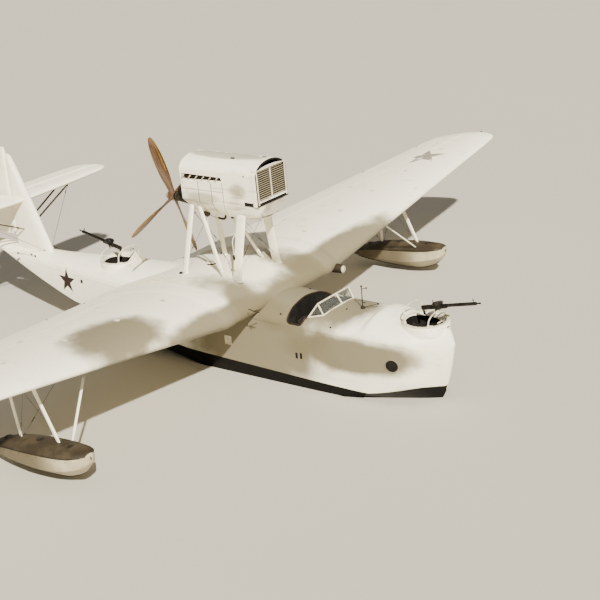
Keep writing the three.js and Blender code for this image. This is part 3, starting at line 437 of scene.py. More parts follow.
# %% Layers of paint
class Finish(NodeDesk):
    """One material that is built in layers."""

    def patch(self, centre, radii, soft=0.25, wobble=0.25, grain=2.2):
        """Mask of one soft-edged cloud, 1 inside an ellipsoid and 0 outside it."""
        shifted = self.vector("SUBTRACT", self.place, tuple(centre))
        reach = self.vector("LENGTH", self.vector("DIVIDE", shifted, tuple(radii)))
        ragged = self.math("MULTIPLY_ADD", self.noise(grain), wobble * 2, reach)
        return self.fade(ragged, 1 + wobble + soft, 1 + wobble - soft)

    def star(self, centre, first, second, radius, soft=0.012):
        """Mask of a five-pointed star in the plane of two unit vectors, one tip along the first."""
        shifted = self.vector("SUBTRACT", self.place, tuple(centre))
        u, v = (self.vector("DOT_PRODUCT", shifted, tuple(way)) for way in (first, second))
        reach = self.math("SQRT", self.math("ADD", self.times(u, u), self.times(v, v)))
        fifth = 2 * math.pi / 5
        folded = self.math("PINGPONG", self.math("ABSOLUTE", self.math("ARCTAN2", v, u)), fifth / 2)
        edge = self.times(reach, self.math("COSINE", self.math("SUBTRACT", folded, fifth)))
        waist = radius * math.cos(fifth)
        return self.fade(edge, waist + soft / 2, waist - soft / 2)

    def paint(self, colour, mask, amount=1.0):
        weight = mask if amount == 1.0 else self.times(mask, amount)
        self.colour = self.node("ShaderNodeMix", {0: weight, 6: self.colour, 7: colour},
                                data_type="RGBA").outputs[2]
        return self

    def tone(self, colour, scale, detail, low, high, amount, stretch=None):
        """A second colour where a noise is high."""
        return self.paint(colour, self.fade(self.noise(scale, detail, stretch), low, high), amount)

    def gloss(self, low, high, scale, detail=3.0):
        """Roughness that drifts between two values."""
        self.roughness = self.node("ShaderNodeMapRange", {
            "Value": self.noise(scale, detail), "To Min": low, "To Max": high}).outputs["Result"]
        return self

    def relief(self, height, distance, strength=0.5):
        inputs = {"Strength": strength, "Distance": distance, "Height": height}
        if self.bump:
            inputs["Normal"] = self.bump
        self.bump = self.node("ShaderNodeBump", inputs).outputs[0]
        return self

    def grain(self, scale, distance, strength=0.5):
        """Fine uneven surface."""
        return self.relief(self.noise(scale, 2.0), distance, strength)

    def done(self):
        self.feed(self.shader.inputs["Base Color"], self.colour)
        self.feed(self.shader.inputs["Roughness"], self.roughness)
        if self.bump:
            self.feed(self.shader.inputs["Normal"], self.bump)
        return self.material


print("finish with", sum(name[0] != "_" for name in vars(Finish)), "tools")

# %% [markdown]
# The light parts are painted a warm cream with soft grey-beige clouds sprayed over them as
# camouflage; the two along the wings' leading edges by the root also paint the shade on the
# edge's forward and lower face. The clouds are ellipsoids with ragged edges, listed once by place
# and size, and every painted finish lays all of them over its base, so that one cloud can cross
# from the deck to the hull side without a seam. The painted stars are folded angles: a point's
# angle about the centre is mirrored into one tenth of a turn, and there a star has a single
# straight edge.

# %% Paint shop
# The grey-beige of the camouflage clouds, also laid on as painted shade
CREAM, CAMOUFLAGE_AND_SHADE = shade(250, 243, 220), shade(112, 103, 78)
STAR_RED, GRIME, SPECK = shade(34, 13, 10), shade(128, 112, 84), shade(150, 138, 110)
# Columns: middle (aft, out, up), half sizes
CLOUDS = [
    ((4.68, -0.95, 1.48), (1.92, 0.60, 1.25)),
    ((4.68, 0.95, 1.48), (1.92, 0.60, 1.25)),
    ((2.10, -0.85, 1.38), (1.70, 0.50, 0.36)),
    ((2.10, 0.85, 1.38), (1.70, 0.50, 0.36)),
    ((2.90, 0.00, 2.00), (0.76, 0.80, 0.40)),
    ((3.95, 0.00, 2.00), (0.95, 1.15, 0.50)),
    # The next two run along the wings' leading edges by the root: camouflage and painted shade on the edge's
    # forward and lower face
    ((4.32, -1.90, 2.25), (0.36, 1.70, 0.50)),
    ((4.50, 2.20, 2.25), (0.42, 2.10, 0.50)),
    ((5.05, -4.20, 2.45), (0.72, 1.12, 0.50)),
]


def boat_paint(name, roughness=0.5, grain=60, grain_height=0.0005, sheet=0.0016):
    """Cream paint with the camouflage clouds, two of them partly painted shade, faint streaks and a slightly
    uneven sheet.
    """
    paint = Finish(name, CREAM, roughness, Coat_Weight=0.04, Coat_Roughness=0.35, Specular_IOR_Level=0.3)
    for middle, half in CLOUDS:
        paint.paint(CAMOUFLAGE_AND_SHADE, paint.patch(at(*middle), half), 0.95)
    paint.tone(GRIME, 5.0, 5.0, 0.56, 0.78, 0.20, (0.5, 0.7, 2.6))
    paint.tone(SPECK, 38.0, 2.0, 0.70, 0.80, 0.30)
    paint.gloss(roughness - 0.1, roughness + 0.16, 9.0, 4.0)
    return paint.grain(1.7, sheet).grain(grain, grain_height)


hull = boat_paint("hull_paint")
for turn in (-1, 1):
    beside = hull.fade(hull.times(hull.axis("Y"), turn), 0.0, 0.05)
    hull.paint(STAR_RED, hull.times(hull.star(at(10.30, turn * 0.45, 1.66), Z_WAY, X_WAY, 0.31), beside))
hull_seams = hull.math("PINGPONG", hull.axis("X"), 0.45)
HULL = hull.relief(hull.fade(hull_seams, 0.0, 0.006), 0.0008, 0.6).done()

wing_coat = boat_paint("wing_paint", 0.52, 110, 0.0004)
normal = wing_coat.node("ShaderNodeNewGeometry").outputs["Normal"]
upward = wing_coat.fade(wing_coat.axis("Z", normal), -0.1, 0.1)
for turn in (-1, 1):
    mask = wing_coat.star(at(5.56, turn * 7.33, 2.82), -X_WAY, Y_WAY, 0.53)
    worn = wing_coat.fade(wing_coat.noise(3.2, 4.0), 0.30, 0.50)
    wing_coat.paint(STAR_RED, wing_coat.times(wing_coat.times(mask, upward), worn), 0.72)
wing_ribs = wing_coat.math("PINGPONG", wing_coat.axis("Y"), 0.19)
WING = wing_coat.relief(wing_coat.fade(wing_ribs, 0.0, 0.012), 0.0011).done()

fabric = boat_paint("doped_fabric", 0.6, 420, 0.00025, 0.001)
threads = [fabric.math("SINE", fabric.times(fabric.axis(name), 900.0)) for name in "XY"]
FABRIC = fabric.relief(fabric.times(*threads), 0.0001, 0.4).done()

STRUT = boat_paint("strut_paint", 0.42, 90, 0.0003, 0.0005).done()
print(len(CLOUDS), "clouds of camouflage on the boat's paint")

# %% [markdown]
# The engine's housing has the same cream paint, and what an engine leaves on it: oil that creeps
# down the lower sides and soot behind the exhausts. The joints of its sheets and the crease of the
# lower shell show as faint dark lines of painted shade, drawn here by their distance from each seam
# and from the fold.

# %% Cowl paint
# Painted shade along the sheet joints and in the lower shell's fold
SEAM_SHADE = shade(112, 100, 76)
FOLD_HEIGHT = 3.72      # Height of the crease in the lower shell, in the frame's own measure
cowl = boat_paint("cowl_paint", 0.38, 40, 0.0002, 0.0012)
low_side = cowl.fade(cowl.axis("Z"), 4.05, 3.55)
oil = cowl.fade(cowl.noise(4.0, 5.0, (0.35, 1.0, 2.4)), 0.50, 0.72)
cowl.paint(shade(104, 84, 58), cowl.times(oil, low_side), 0.55)
soot = cowl.times(cowl.fade(cowl.axis("X"), 0.35, -0.35), cowl.fade(cowl.noise(3.0), 0.42, 0.62))
cowl.paint(shade(70, 60, 48), cowl.times(soot, cowl.fade(cowl.axis("Z"), 4.16, 3.98)), 0.4)
# Grey-beige clouds on the housing, the second along its lower sides; the last, on the chin below the
# radiator, is painted shade on its downward-facing front
for middle, half in (((4.92, 0.0, 4.28), (0.34, 0.60, 0.22)), ((5.85, 0.0, 4.05), (0.70, 0.60, 0.20)),
                     ((5.50, 0.0, 4.92), (1.10, 0.26, 0.14)), ((4.44, 0.06, 3.80), (0.12, 0.44, 0.20))):
    cowl.paint(CAMOUFLAGE_AND_SHADE, cowl.patch(at(*middle), half, 0.15, 0.12), 0.6)
above_slot = cowl.fade(cowl.axis("Z"), 3.90, 3.93)
for seam_aft in (5.285, 5.59, 5.93):
    off_seam = cowl.math("ABSOLUTE", cowl.math("ADD", cowl.axis("X"), seam_aft - STEP_AFT))
    cowl.paint(SEAM_SHADE, cowl.math("SUBTRACT", cowl.fade(off_seam, 0.020, 0.004), above_slot), 0.75)
off_fold = cowl.math("ABSOLUTE", cowl.math("SUBTRACT", cowl.axis("Z"), FOLD_HEIGHT))
fold = cowl.times(cowl.fade(off_fold, 0.016, 0.004), cowl.fade(cowl.axis("X"), 0.86, 0.82))
COWL = cowl.paint(SEAM_SHADE, fold, 0.6).done()
print("cowl paint:", len(cowl.tree.nodes), "nodes")

# %% [markdown]
# The rest of the finishes are bare or dark. Metal that is handled or heated varies in colour and in
# gloss from place to place, so each one mixes two tones by a noise of the right size. A table of
# chips is enough for all of them.

# %% Metals
def worn_metal(name, main, second, roughness, metallic, grain=30.0):
    """Metal of two tones with a fine grain."""
    metal = Finish(name, shade(*main), roughness, metallic, Specular_IOR_Level=0.2)
    metal.tone(shade(*second), grain * 0.4, 5.0, 0.42, 0.68, 0.6)
    metal.gloss(max(roughness - 0.14, 0.05), roughness + 0.16, grain)
    return metal.grain(grain * 6, 0.0002).done()


GREY_METAL = worn_metal("ring_paint", (168, 158, 132), (120, 110, 88), 0.48, 0.1)
PALE_METAL = worn_metal("pale_tube", (226, 217, 190), (170, 158, 130), 0.42, 0.1)
DARK = worn_metal("dark_metal", (40, 36, 30), (76, 68, 54), 0.5, 0.5)
GUN = worn_metal("gun_steel", (44, 42, 40), (84, 80, 72), 0.34, 0.85)
EXHAUST = worn_metal("exhaust_steel", (176, 160, 128), (96, 78, 60), 0.42, 0.6, 60.0)
# Near-black core: partly its own dark metal, partly painted shade behind the shutters and in the honeycomb
CORE_AND_SHADE = worn_metal("radiator_core", (14, 13, 11), (30, 27, 22), 0.6, 0.2, 120.0)
SLAT = worn_metal("slat_metal", (152, 142, 116), (124, 114, 92), 0.5, 0.1)
BRASS = worn_metal("worn_brass", (168, 132, 70), (98, 74, 40), 0.35, 0.9)
# Near black: the dial faces' own paint, and painted shade in the wells, slots, vents, gaps and holes, behind
# the portholes and on the cowl's inner face
BLACK_AND_SHADE = worn_metal("black_paint_and_shade", (15, 13, 11), (30, 26, 20), 0.8, 0.0, 12.0)
WIRE = worn_metal("wire_steel", (96, 90, 78), (48, 44, 38), 0.35, 0.8, 200.0)
print("a metal has", len(WIRE.node_tree.nodes), "nodes")

# %% [markdown]
# Timber needs its own pattern. A propeller is glued from flat boards, so its growth rings are long
# along each blade and tight through its depth; measuring from the shaft lets one pattern serve
# every blade. Tar, leather, glass and the floats' paint are simpler: a base, a second tone and a
# grain, and on the floats' sides painted shade over the aft part.

# %% Timber, tar, leather and glass
SHAFT_UP = 3.85
SHAFT = at(7.09, 0, SHAFT_UP)
timber = Finish("propeller_wood", shade(92, 66, 43), 0.34, Coat_Weight=0.5, Coat_Roughness=0.18)
from_shaft = timber.vector("SUBTRACT", timber.place, tuple(SHAFT))
depth = timber.axis("X", from_shaft)
reach = timber.vector("LENGTH", timber.vector("MULTIPLY", from_shaft, (0, 1, 1)))
stretched = timber.node("ShaderNodeCombineXYZ", {0: timber.times(depth, 70.0), 1: timber.times(reach, 3.0)})
growth = timber.noise(1.0, 6.0, source=stretched.outputs[0])
timber.paint(shade(52, 36, 23), timber.fade(growth, 0.45, 0.62), 0.7)
timber.paint(shade(44, 24, 12), timber.fade(timber.math("PINGPONG", depth, 0.011), 0.0015, 0.0), 0.8)
WOOD = timber.relief(growth, 0.0004).done()

tar = Finish("bottom_paint", shade(13, 12, 10), 0.5, Specular_IOR_Level=0.12)
tar.tone(shade(38, 33, 26), 7.0, 5.0, 0.58, 0.80, 0.35, (0.4, 1, 2)).gloss(0.28, 0.6, 6.0, 4.0)
BOTTOM = tar.grain(1.4, 0.002).grain(70.0, 0.0005).done()

float_paint = Finish("float_paint", shade(172, 160, 130), 0.5, Specular_IOR_Level=0.3)
float_paint.tone(shade(206, 196, 168), 2.4, 4.0, 0.45, 0.65, 0.6)
float_paint.tone(GRIME, 6.0, 5.0, 0.56, 0.8, 0.45, (0.5, 1, 2.4))
# Darker over the aft part of the side: painted shade
float_paint.paint(shade(88, 78, 59), float_paint.fade(float_paint.axis("X"), 1.55, 0.70), 0.9)
FLOAT_SIDE = float_paint.grain(80.0, 0.0004).done()
float_deck = Finish("float_deck_paint", shade(46, 39, 29), 0.6, Specular_IOR_Level=0.2)
FLOAT_DECK = float_deck.tone(shade(74, 65, 49), 3.0, 4.0, 0.42, 0.66, 0.7).grain(80.0, 0.0004).done()

leather = Finish("seat_leather", shade(40, 29, 21), 0.55, Specular_IOR_Level=0.2)
leather.tone(shade(58, 43, 31), 9.0, 5.0, 0.48, 0.7, 0.7).gloss(0.38, 0.62, 14.0)
creases = leather.node("ShaderNodeTexVoronoi", feature="DISTANCE_TO_EDGE")
leather.feed(creases.inputs["Scale"], 160.0)
leather.feed(creases.inputs["Vector"], leather.place)
LEATHER = leather.relief(leather.fade(creases.outputs["Distance"], 0.0, 0.25), 0.0006, 0.7).done()

glass = Finish("clear_pane", shade(232, 236, 226), 0.04, Transmission_Weight=0.96, IOR=1.12)
GLASS = glass.tone(shade(206, 200, 176), 8.0, 4.0, 0.55, 0.8, 0.2).gloss(0.0, 0.03, 12.0, 4.0).done()

panel = Finish("panel_paint", shade(36, 33, 28), 0.5)
PANEL = panel.tone(shade(60, 54, 44), 18.0, 5.0, 0.5, 0.72, 0.6).grain(240.0, 0.0003, 0.6).done()
print(len(bpy.data.materials), "materials, those of the engineering model included")

# %% [markdown]
# The hull is a wooden shell with a sharp chine and one step, like a fast motor boat. A table of
# cross-sections says how wide and high it is at a few frames, and a smooth curve through each
# column gives as many sections between them as the skin needs. One cross-section has three
# stretches: a bottom that is slightly hollow, a side that is slightly full, and a deck that is a
# quarter of an ellipse.

# %% Hull sections
# Columns: aft, keel up, chine out, chine up, deck edge out, deck edge up, crown up
FOREBODY = [
    (0.44, 1.560, 0.020, 1.575, 0.040, 1.630, 1.690),
    (0.50, 1.240, 0.070, 1.330, 0.120, 1.595, 1.850),
    (0.57, 0.960, 0.100, 1.120, 0.210, 1.580, 1.945),
    (0.68, 0.620, 0.140, 0.930, 0.330, 1.600, 1.985),
    (0.82, 0.420, 0.280, 0.890, 0.460, 1.635, 2.000),
    (1.04, 0.320, 0.490, 0.860, 0.600, 1.680, 2.005),
    (1.30, 0.255, 0.620, 0.800, 0.690, 1.725, 2.010),
    (1.50, 0.210, 0.680, 0.745, 0.730, 1.750, 2.015),
    (2.14, 0.095, 0.775, 0.600, 0.775, 1.755, 2.035),
    (3.24, 0.015, 0.800, 0.350, 0.795, 1.750, 2.060),
    (4.40, 0.000, 0.800, 0.250, 0.800, 1.780, 2.120),
    (6.10, 0.000, 0.800, 0.300, 0.800, 1.830, 2.230),
]
AFTERBODY = [
    (6.10, 0.225, 0.800, 0.520, 0.800, 1.830, 2.230),
    (7.20, 0.440, 0.775, 0.700, 0.765, 1.820, 2.240),
    (8.20, 0.640, 0.715, 0.880, 0.700, 1.830, 2.215),
    (9.10, 0.830, 0.630, 1.030, 0.610, 1.845, 2.180),
    (10.00, 1.020, 0.520, 1.180, 0.505, 1.865, 2.145),
    (11.10, 1.370, 0.395, 1.470, 0.385, 1.900, 2.100),
    (12.13, 1.740, 0.290, 1.820, 0.280, 1.960, 2.110),
    (12.80, 1.990, 0.200, 2.050, 0.190, 2.080, 2.170),
    (13.15, 2.120, 0.090, 2.150, 0.080, 2.160, 2.210),
]
# Columns: aft, height of the black bottom's edge
PAINT_LINE = [(0.3, 0.740), (0.7, 0.785), (0.96, 0.820), (1.12, 0.805), (1.39, 0.755), (1.93, 0.660),
              (6.45, 0.810), (10.0, 1.190), (10.6, 1.260), (13.5, 1.60)]
BOTTOM_STEPS, SIDE_STEPS, DECK_STEPS = 7, 7, 14
HOLLOW, FULLNESS = 0.016, 0.012
HUMP_TOP, HUMP_FROM, HUMP_PEAK, HUMP_END = 0.10, 1.30, 1.93, 2.10


def hump(aft):
    """Height that the fairing behind the bow ring adds to the deck's crown."""
    t = min((aft - HUMP_FROM) / (HUMP_PEAK - HUMP_FROM), (HUMP_END - aft) / (HUMP_END - HUMP_PEAK))
    return HUMP_TOP * t * t * (3 - 2 * t) if t > 0 else 0.0


def hull_half(aft, table):
    """Port half of one cross-section, keel to crown, as (out, up) pairs."""
    keel, chine_out, chine_up, edge_out, edge_up, crown = curve_through(table, aft)
    rise = crown + hump(aft) - edge_up
    half = [(chine_out * t, keel + (chine_up - keel) * t - HOLLOW * math.sin(math.pi * t))
            for t in spread(0, 1, BOTTOM_STEPS + 1)[:-1]]
    half += [(chine_out + (edge_out - chine_out) * t + FULLNESS * math.sin(math.pi * t),
              chine_up + (edge_up - chine_up) * t) for t in spread(0, 1, SIDE_STEPS + 1)[:-1]]
    return half + [(edge_out * math.cos(a), edge_up + rise * math.sin(a))
                   for a in spread(0, math.pi / 2, DECK_STEPS + 1)]


print("beam at the step", 2 * FOREBODY[-1][2], "m")

# %% [markdown]
# Portholes, cleats and coamings have to sit on the hull exactly. The sections already say where side
# and deck are, so nothing is measured on the mesh: one helper finds where a line of points passes a
# level, and the others ask it.

# %% Places on the hull
def body_at(aft):
    return FOREBODY if aft <= STEP_AFT else AFTERBODY


def crossing(line, level, column):
    """Place in a list of pairs where one column passes a level, and the other column's value there."""
    k = next((k for k in range(len(line) - 1) if line[k][column] <= level < line[k + 1][column]), None)
    if k is None:
        return None, None
    (a, b), (c, d) = (pair if column else pair[::-1] for pair in line[k:k + 2])
    return k, a + (c - a) * (level - b) / (d - b)


def paint_height(aft):
    return crossing(PAINT_LINE, aft, 0)[1]


def side_out(aft, up):
    """How far out the hull's side is at a place and height."""
    return crossing(hull_half(aft, body_at(aft)), up, 1)[1]


def deck_up(aft, out):
    """Height of the deck at a place, hump included."""
    _, _, _, edge_out, edge_up, crown = curve_through(body_at(aft), aft)
    return edge_up + (crown + hump(aft) - edge_up) * math.sqrt(max(0.0, 1 - (out / edge_out) ** 2))


def stations(start, end, spacing):
    return spread(start, end, max(2, round((end - start) / spacing) + 1))


print("deck at the step", round(deck_up(STEP_AFT, 0), 2), "m above the keel")

# %% [markdown]
# The paint line splits the shell into the black planing bottom and the light topsides. Where a
# section point lies past the line it slides onto it, so both skins share one exact edge. At the
# bow the first section is closed by two smaller ones that give the blunt, rounded stem.

# %% Hull shells
BOW_AFT, STERN_AFT, SEAM = 0.44, 13.15, 0.0006
NOSE_FRAME, COCKPIT_FRAME, TAIL_FRAME = 2.3, 4.33, 8.33
# Columns: distance ahead of the first section, scale of its outline about the stem's middle
STEM_CAP, STEM_MIDDLE = [(0.012, 0.45), (0.006, 0.80)], 1.62


def trimmed(half, level, keep_top):
    """The half section on one side of a level, with the rest moved onto the crossing."""
    k, out = crossing(half, level, 1)
    if k is None:
        return half if (half[0][1] > level) == keep_top else [half[-1 if keep_top else 0]] * len(half)
    edge = (out, level)
    return [edge] * (k + 1) + half[k + 1:] if keep_top else half[:k + 1] + [edge] * (len(half) - k - 1)


def full_ring(aft, half, middle=0.0):
    return [at(aft, middle + y, z) for y, z in half] + [at(aft, middle - y, z) for y, z in half[-2:0:-1]]


def shell(table, start, end, keep_top=True, spacing=0.07, stem=False):
    bench, rings = Bench(), []
    for ahead, scale in STEM_CAP if stem else ():
        rings.append(full_ring(start - ahead, [(y * scale, STEM_MIDDLE + (z - STEM_MIDDLE) * scale)
                                               for y, z in hull_half(start, table)]))
    for aft in stations(start, end, spacing):
        rings.append(full_ring(aft, trimmed(hull_half(aft, table), paint_height(aft), keep_top)))
    bench.skin(rings)
    return bench


for name, table, start, end, spacing, trim_from, trim_to in (
        ("fore", FOREBODY, 0.62, STEP_AFT, 0.05, 0.8, STEP_AFT - 0.01),
        ("aft", AFTERBODY, STEP_AFT + SEAM, 10.4, 0.07, STEP_AFT + 0.02, 9.6)):
    planing = shell(table, start, end, False, spacing)
    # A keel band and a spray strip along each chine, of the same black wood
    path = [(aft, curve_through(table, aft)) for aft in stations(trim_from, trim_to, 0.12)]
    planing.skin([[at(aft, y, row[0] + z) for y, z in ((0.02, 0.01), (0.02, -0.012), (-0.02, -0.012),
                                                        (-0.02, 0.01))] for aft, row in path])
    for turn in (-1, 1):
        planing.skin([[at(aft, turn * (row[1] + y), row[2] + z) for y, z in (
            (-0.03, -0.014), (0.012, -0.018), (0.014, 0.0), (0.002, 0.016), (-0.02, 0.01))]
            for aft, row in path if row[2] < paint_height(aft) - 0.02])
    make(f"bottom_{name}_skin", planing, [BOTTOM], [f"hull_bottom_{name}"], 30)

nose, cockpit, centre, aft_hull, tail_hull = (
    make(f"{name}_skin", shell(*limits), finishes, [f"hull_{name}"], 30)
    for name, finishes, limits in (
        ("nose", [HULL, BLACK_AND_SHADE, GREY_METAL], (FOREBODY, BOW_AFT, NOSE_FRAME - SEAM, True, 0.03, True)),
        ("cockpit", [HULL, BLACK_AND_SHADE], (FOREBODY, NOSE_FRAME, COCKPIT_FRAME - SEAM)),
        ("centre", [HULL], (FOREBODY, COCKPIT_FRAME, STEP_AFT)),
        ("aft", [HULL], (AFTERBODY, STEP_AFT + SEAM, TAIL_FRAME - SEAM)),
        ("tail", [HULL, BLACK_AND_SHADE, GREY_METAL], (AFTERBODY, TAIL_FRAME, STERN_AFT))))
print("hull skins:", [len(o.data.polygons) for o in (nose, cockpit, centre, aft_hull, tail_hull)])

# %% [markdown]
# Two round gun pits and the cockpit are wells in the deck. They are cut with the Boolean modifier
# out of the closed skins, and the walls that the cut leaves are given the near-black finish by
# their place, which paints the shade inside the wells.

# %% Wells
# Columns: aft, height of the ring, floor of the pit
NOSE_PIT, REAR_PIT = (1.03, 2.03, 1.25), (8.96, 2.215, 1.0)
PIT_RADIUS = 0.385
WELL_FRONT, WELL_SHOULDER, WELL_REAR = 3.06, 3.335, 3.83
WELL_HALF, WELL_NECK, WELL_FOOT, WELL_ROUND = 0.70, 0.59, 0.47, 0.33
WELL_FLOOR, SILL_UP, SILL_SPAN = 0.95, 1.815, 0.9

for piece, (aft, up, floor_up) in ((nose, NOSE_PIT), (tail_hull, REAR_PIT)):
    tool, foot = Bench(), at(aft, 0, floor_up)
    tool.turned([(PIT_RADIUS, 0), (PIT_RADIUS, up + 0.4 - floor_up)], foot, sides=64)
    cut(piece, tool)
    refinish(piece, 1, lambda c, n: (
        math.hypot(c.x - foot.x, c.y) < PIT_RADIUS + 0.002 and c.z > foot.z - 0.002
        and (c.z < foot.z + 0.01 or n.x * (c.x - foot.x) + n.y * c.y < -0.1)))

# Edge of the cockpit opening as (aft, out), from the front port corner round the rear
edge = [(WELL_FRONT, WELL_FOOT), (WELL_SHOULDER - 0.06, WELL_NECK - 0.02), (WELL_SHOULDER, WELL_NECK + 0.03),
        (WELL_SHOULDER + 0.05, WELL_HALF - 0.02)]
outline = edge + [(WELL_REAR - WELL_ROUND + WELL_ROUND * math.sin(a), WELL_HALF * math.cos(a))
                  for a in spread(0, math.pi, 21)] + [(aft, -out) for aft, out in edge[::-1]]
well_tool, sill_tool = Bench(), Bench()
well_tool.skin([[at(aft, out, up) for aft, out in outline] for up in (WELL_FLOOR, 2.6)])
SILL = [(3.34, 1.99), (3.385, 1.86), (3.43, SILL_UP), (3.68, SILL_UP), (3.75, 1.86), (3.80, 2.02),
        (3.80, 2.6), (3.34, 2.6)]
sill_tool.skin([[at(aft, out, up) for aft, up in SILL] for out in (-SILL_SPAN, SILL_SPAN)])
cut(cockpit, well_tool, sill_tool)


def in_well(centre, _):
    aft, up = STEP_AFT - centre.x, centre.z + DRAFT
    return (WELL_FRONT - 0.002 < aft < WELL_REAR + 0.002 and abs(centre.y) < 0.79
            and WELL_FLOOR - 0.01 < up < deck_up(aft, abs(centre.y)) - 0.006)


print("dark faces in the cockpit:", refinish(cockpit, 1, in_well))

# %% [markdown]
# Around each pit stands a rounded coaming that carries the turning ring, and a padded leather roll
# runs round the cockpit's edge. The roll follows the deck's own height, except in the low sills at
# the sides, where its table gives the height.

# %% Coamings and cockpit roll
# Columns: distance beyond the pit's wall, distance below the ring
COAMING = [(0.004, -0.19), (0.075, -0.19), (0.072, -0.02), (0.062, -0.006), (0.05, 0.0), (0.006, 0.0),
           (0.001, -0.006), (0.001, -0.03)]
coamings = Bench()
for aft, up, _ in (NOSE_PIT, REAR_PIT):
    coamings.finish = 0
    coamings.turned([(PIT_RADIUS + wide, low) for wide, low in COAMING], at(aft, 0, up), sides=72,
                    closed=True)
    coamings.finish = 1
    for a in turns(24):
        coamings.dome(at(aft, 0, up - 0.045) + deck_spoke(a) * (PIT_RADIUS + 0.073), deck_spoke(a), 0.008)
make("pit_coamings", coamings, [HULL, GREY_METAL])

# Columns: aft, out, height in a sill or nothing
ROLL = [(3.06, 0.47, 0), (3.17, 0.52, 0), (3.275, 0.57, 0), (3.335, 0.63, 0), (3.36, 0.69, 1.93),
        (3.385, 0.745, 1.86), (3.43, 0.775, 1.815), (3.555, 0.778, 1.815), (3.68, 0.775, 1.815),
        (3.75, 0.745, 1.86), (3.778, 0.62, 1.95), (3.80, 0.466, 2.02), (3.805, 0.33, 0), (3.82, 0.18, 0),
        (3.83, 0.06, 0)]
half_roll = [at(a, o, (up or deck_up(a, o)) + 0.003) for a, o, up in ROLL]
roll = Bench()
roll.tube(smooth_line(half_roll + [mirror(p) for p in half_roll[::-1]], 3), 0.018, 12, closed=True)
make("cockpit_roll", roll, [LEATHER])
print("cockpit roll:", len(roll.faces), "faces")

# %% [markdown]
# The wing is thick at the root and thin at the tip, with no struts or wires of its own, so its skin
# is all there is to see. Each section is the classic thickness curve laid round a bent centre line.
# Chord, leading edge, rise and thickness are simple functions of the distance out, and a short
# table rounds off the tip. One function gives a point of the skin for any distance out and any
# share of the chord, and everything that lies on the wing asks it where the surface is.

# %% Wing surface
WING_LE_AFT, ROOT_CHORD, JOINT_Y, WING_END = 4.39, 3.88, 1.66, 9.5
DIHEDRAL, INCIDENCE, ROOT_LE_UP = 0.12, 0.031, 2.045
LE_SWEEP, TE_SWEEP = 0.045, 0.255
ROOT_THICKNESS, TIP_THICKNESS = 0.18, 0.10
CAMBER, CAMBER_AT, CHORD_POINTS = 0.04, 0.4, 24
# Columns: out, leading edge back, trailing edge forward
TIP = [(8.70, 0.0, 0.0), (9.10, 0.010, 0.060), (9.30, 0.030, 0.260), (9.43, 0.090, 0.650),
       (9.50, 0.240, 1.230)]


def wing_edges(out):
    """Leading and trailing edge (aft), height of the leading edge and thickness at a distance out."""
    beyond = max(abs(out) - JOINT_Y, 0.0)
    back, forward = curve_through(TIP, abs(out)) if abs(out) > TIP[0][0] else (0.0, 0.0)
    return (WING_LE_AFT + LE_SWEEP * beyond + back, WING_LE_AFT + ROOT_CHORD - TE_SWEEP * beyond - forward,
            ROOT_LE_UP + DIHEDRAL * beyond,
            ROOT_THICKNESS - (ROOT_THICKNESS - TIP_THICKNESS) * beyond / (WING_END - JOINT_Y))


def section(f, thickness):
    """Rise of the centre line and half thickness at a share of the chord, both as shares of it."""
    half = 5 * thickness * (0.2969 * math.sqrt(f) - 0.126 * f - 0.3516 * f ** 2 + 0.2843 * f ** 3
                            - 0.1036 * f ** 4)
    if f < CAMBER_AT:
        return CAMBER / CAMBER_AT ** 2 * (2 * CAMBER_AT * f - f * f), half
    bent = 1 - 2 * CAMBER_AT + 2 * CAMBER_AT * f - f * f
    return CAMBER / (1 - CAMBER_AT) ** 2 * bent, max(half, 0.0008)


def wing_skin(out, f, side, proud=0.0):
    """Point of the wing's upper (side 1) or lower (side -1) skin, or its centre line (side 0)."""
    lead, trail, rise, thickness = wing_edges(out)
    chord = trail - lead
    bent, half = section(f, thickness)
    up = rise + chord * (bent - INCIDENCE * f + side * half) + side * proud
    return at(lead + chord * f - proud * (1 - 2 * f), out, up)


def wing_share(out, aft):
    lead, trail, _, _ = wing_edges(out)
    return (aft - lead) / (trail - lead)


def wing_up(aft, out, side=1):
    """Height above the keel of the upper or the lower skin at a place."""
    return wing_skin(out, wing_share(out, aft), side).z + DRAFT


def wing_ring(out, last=1.0, proud=0.0):
    """Section from the last share of the chord over the nose and back below."""
    shares = [last * t * t for t in spread(1, 0, CHORD_POINTS)]
    return ([wing_skin(out, f, 1, proud) for f in shares]
            + [wing_skin(out, f, -1, proud) for f in shares[-2::-1]])


print("tip chord", round(wing_edges(9.4)[1] - wing_edges(9.4)[0], 2), "m")

# %% [markdown]
# An aileron hangs on the swept hinge line of each outer panel. The wing's skin stops at a lip a
# little ahead of the hinge and folds into a round cove, and the aileron's round nose turns inside
# it about the hinge line itself, so the slot stays the same at every angle. The two ends are cut
# square to the hinge, which is why the rings there lean.

# %% Aileron hinge
HINGE_FROM, HINGE_TO, LIP_AHEAD, COVE_GAP = 2.01, 8.96, 0.028, 0.012
ROOT_GAP, TIP_GAP, HINGE_LEAN = 0.036, 0.020, 0.225
COVE_POINTS, AFT_POINTS = 7, 6


def hinge_aft(out):
    return 7.10 - HINGE_LEAN * (out - 1.87)


def hinge_share(out):
    return wing_share(out, hinge_aft(out))


hinge_start, hinge_finish = (wing_skin(out, hinge_share(out), 0) for out in (HINGE_FROM, HINGE_TO))


def hinge_centre(out):
    return hinge_start.lerp(hinge_finish, (out - HINGE_FROM) / (HINGE_TO - HINGE_FROM))


def nose_height(out, side):
    """Height of the skin over the hinge line."""
    return abs(wing_skin(out, hinge_share(out), side).z - hinge_centre(out).z)


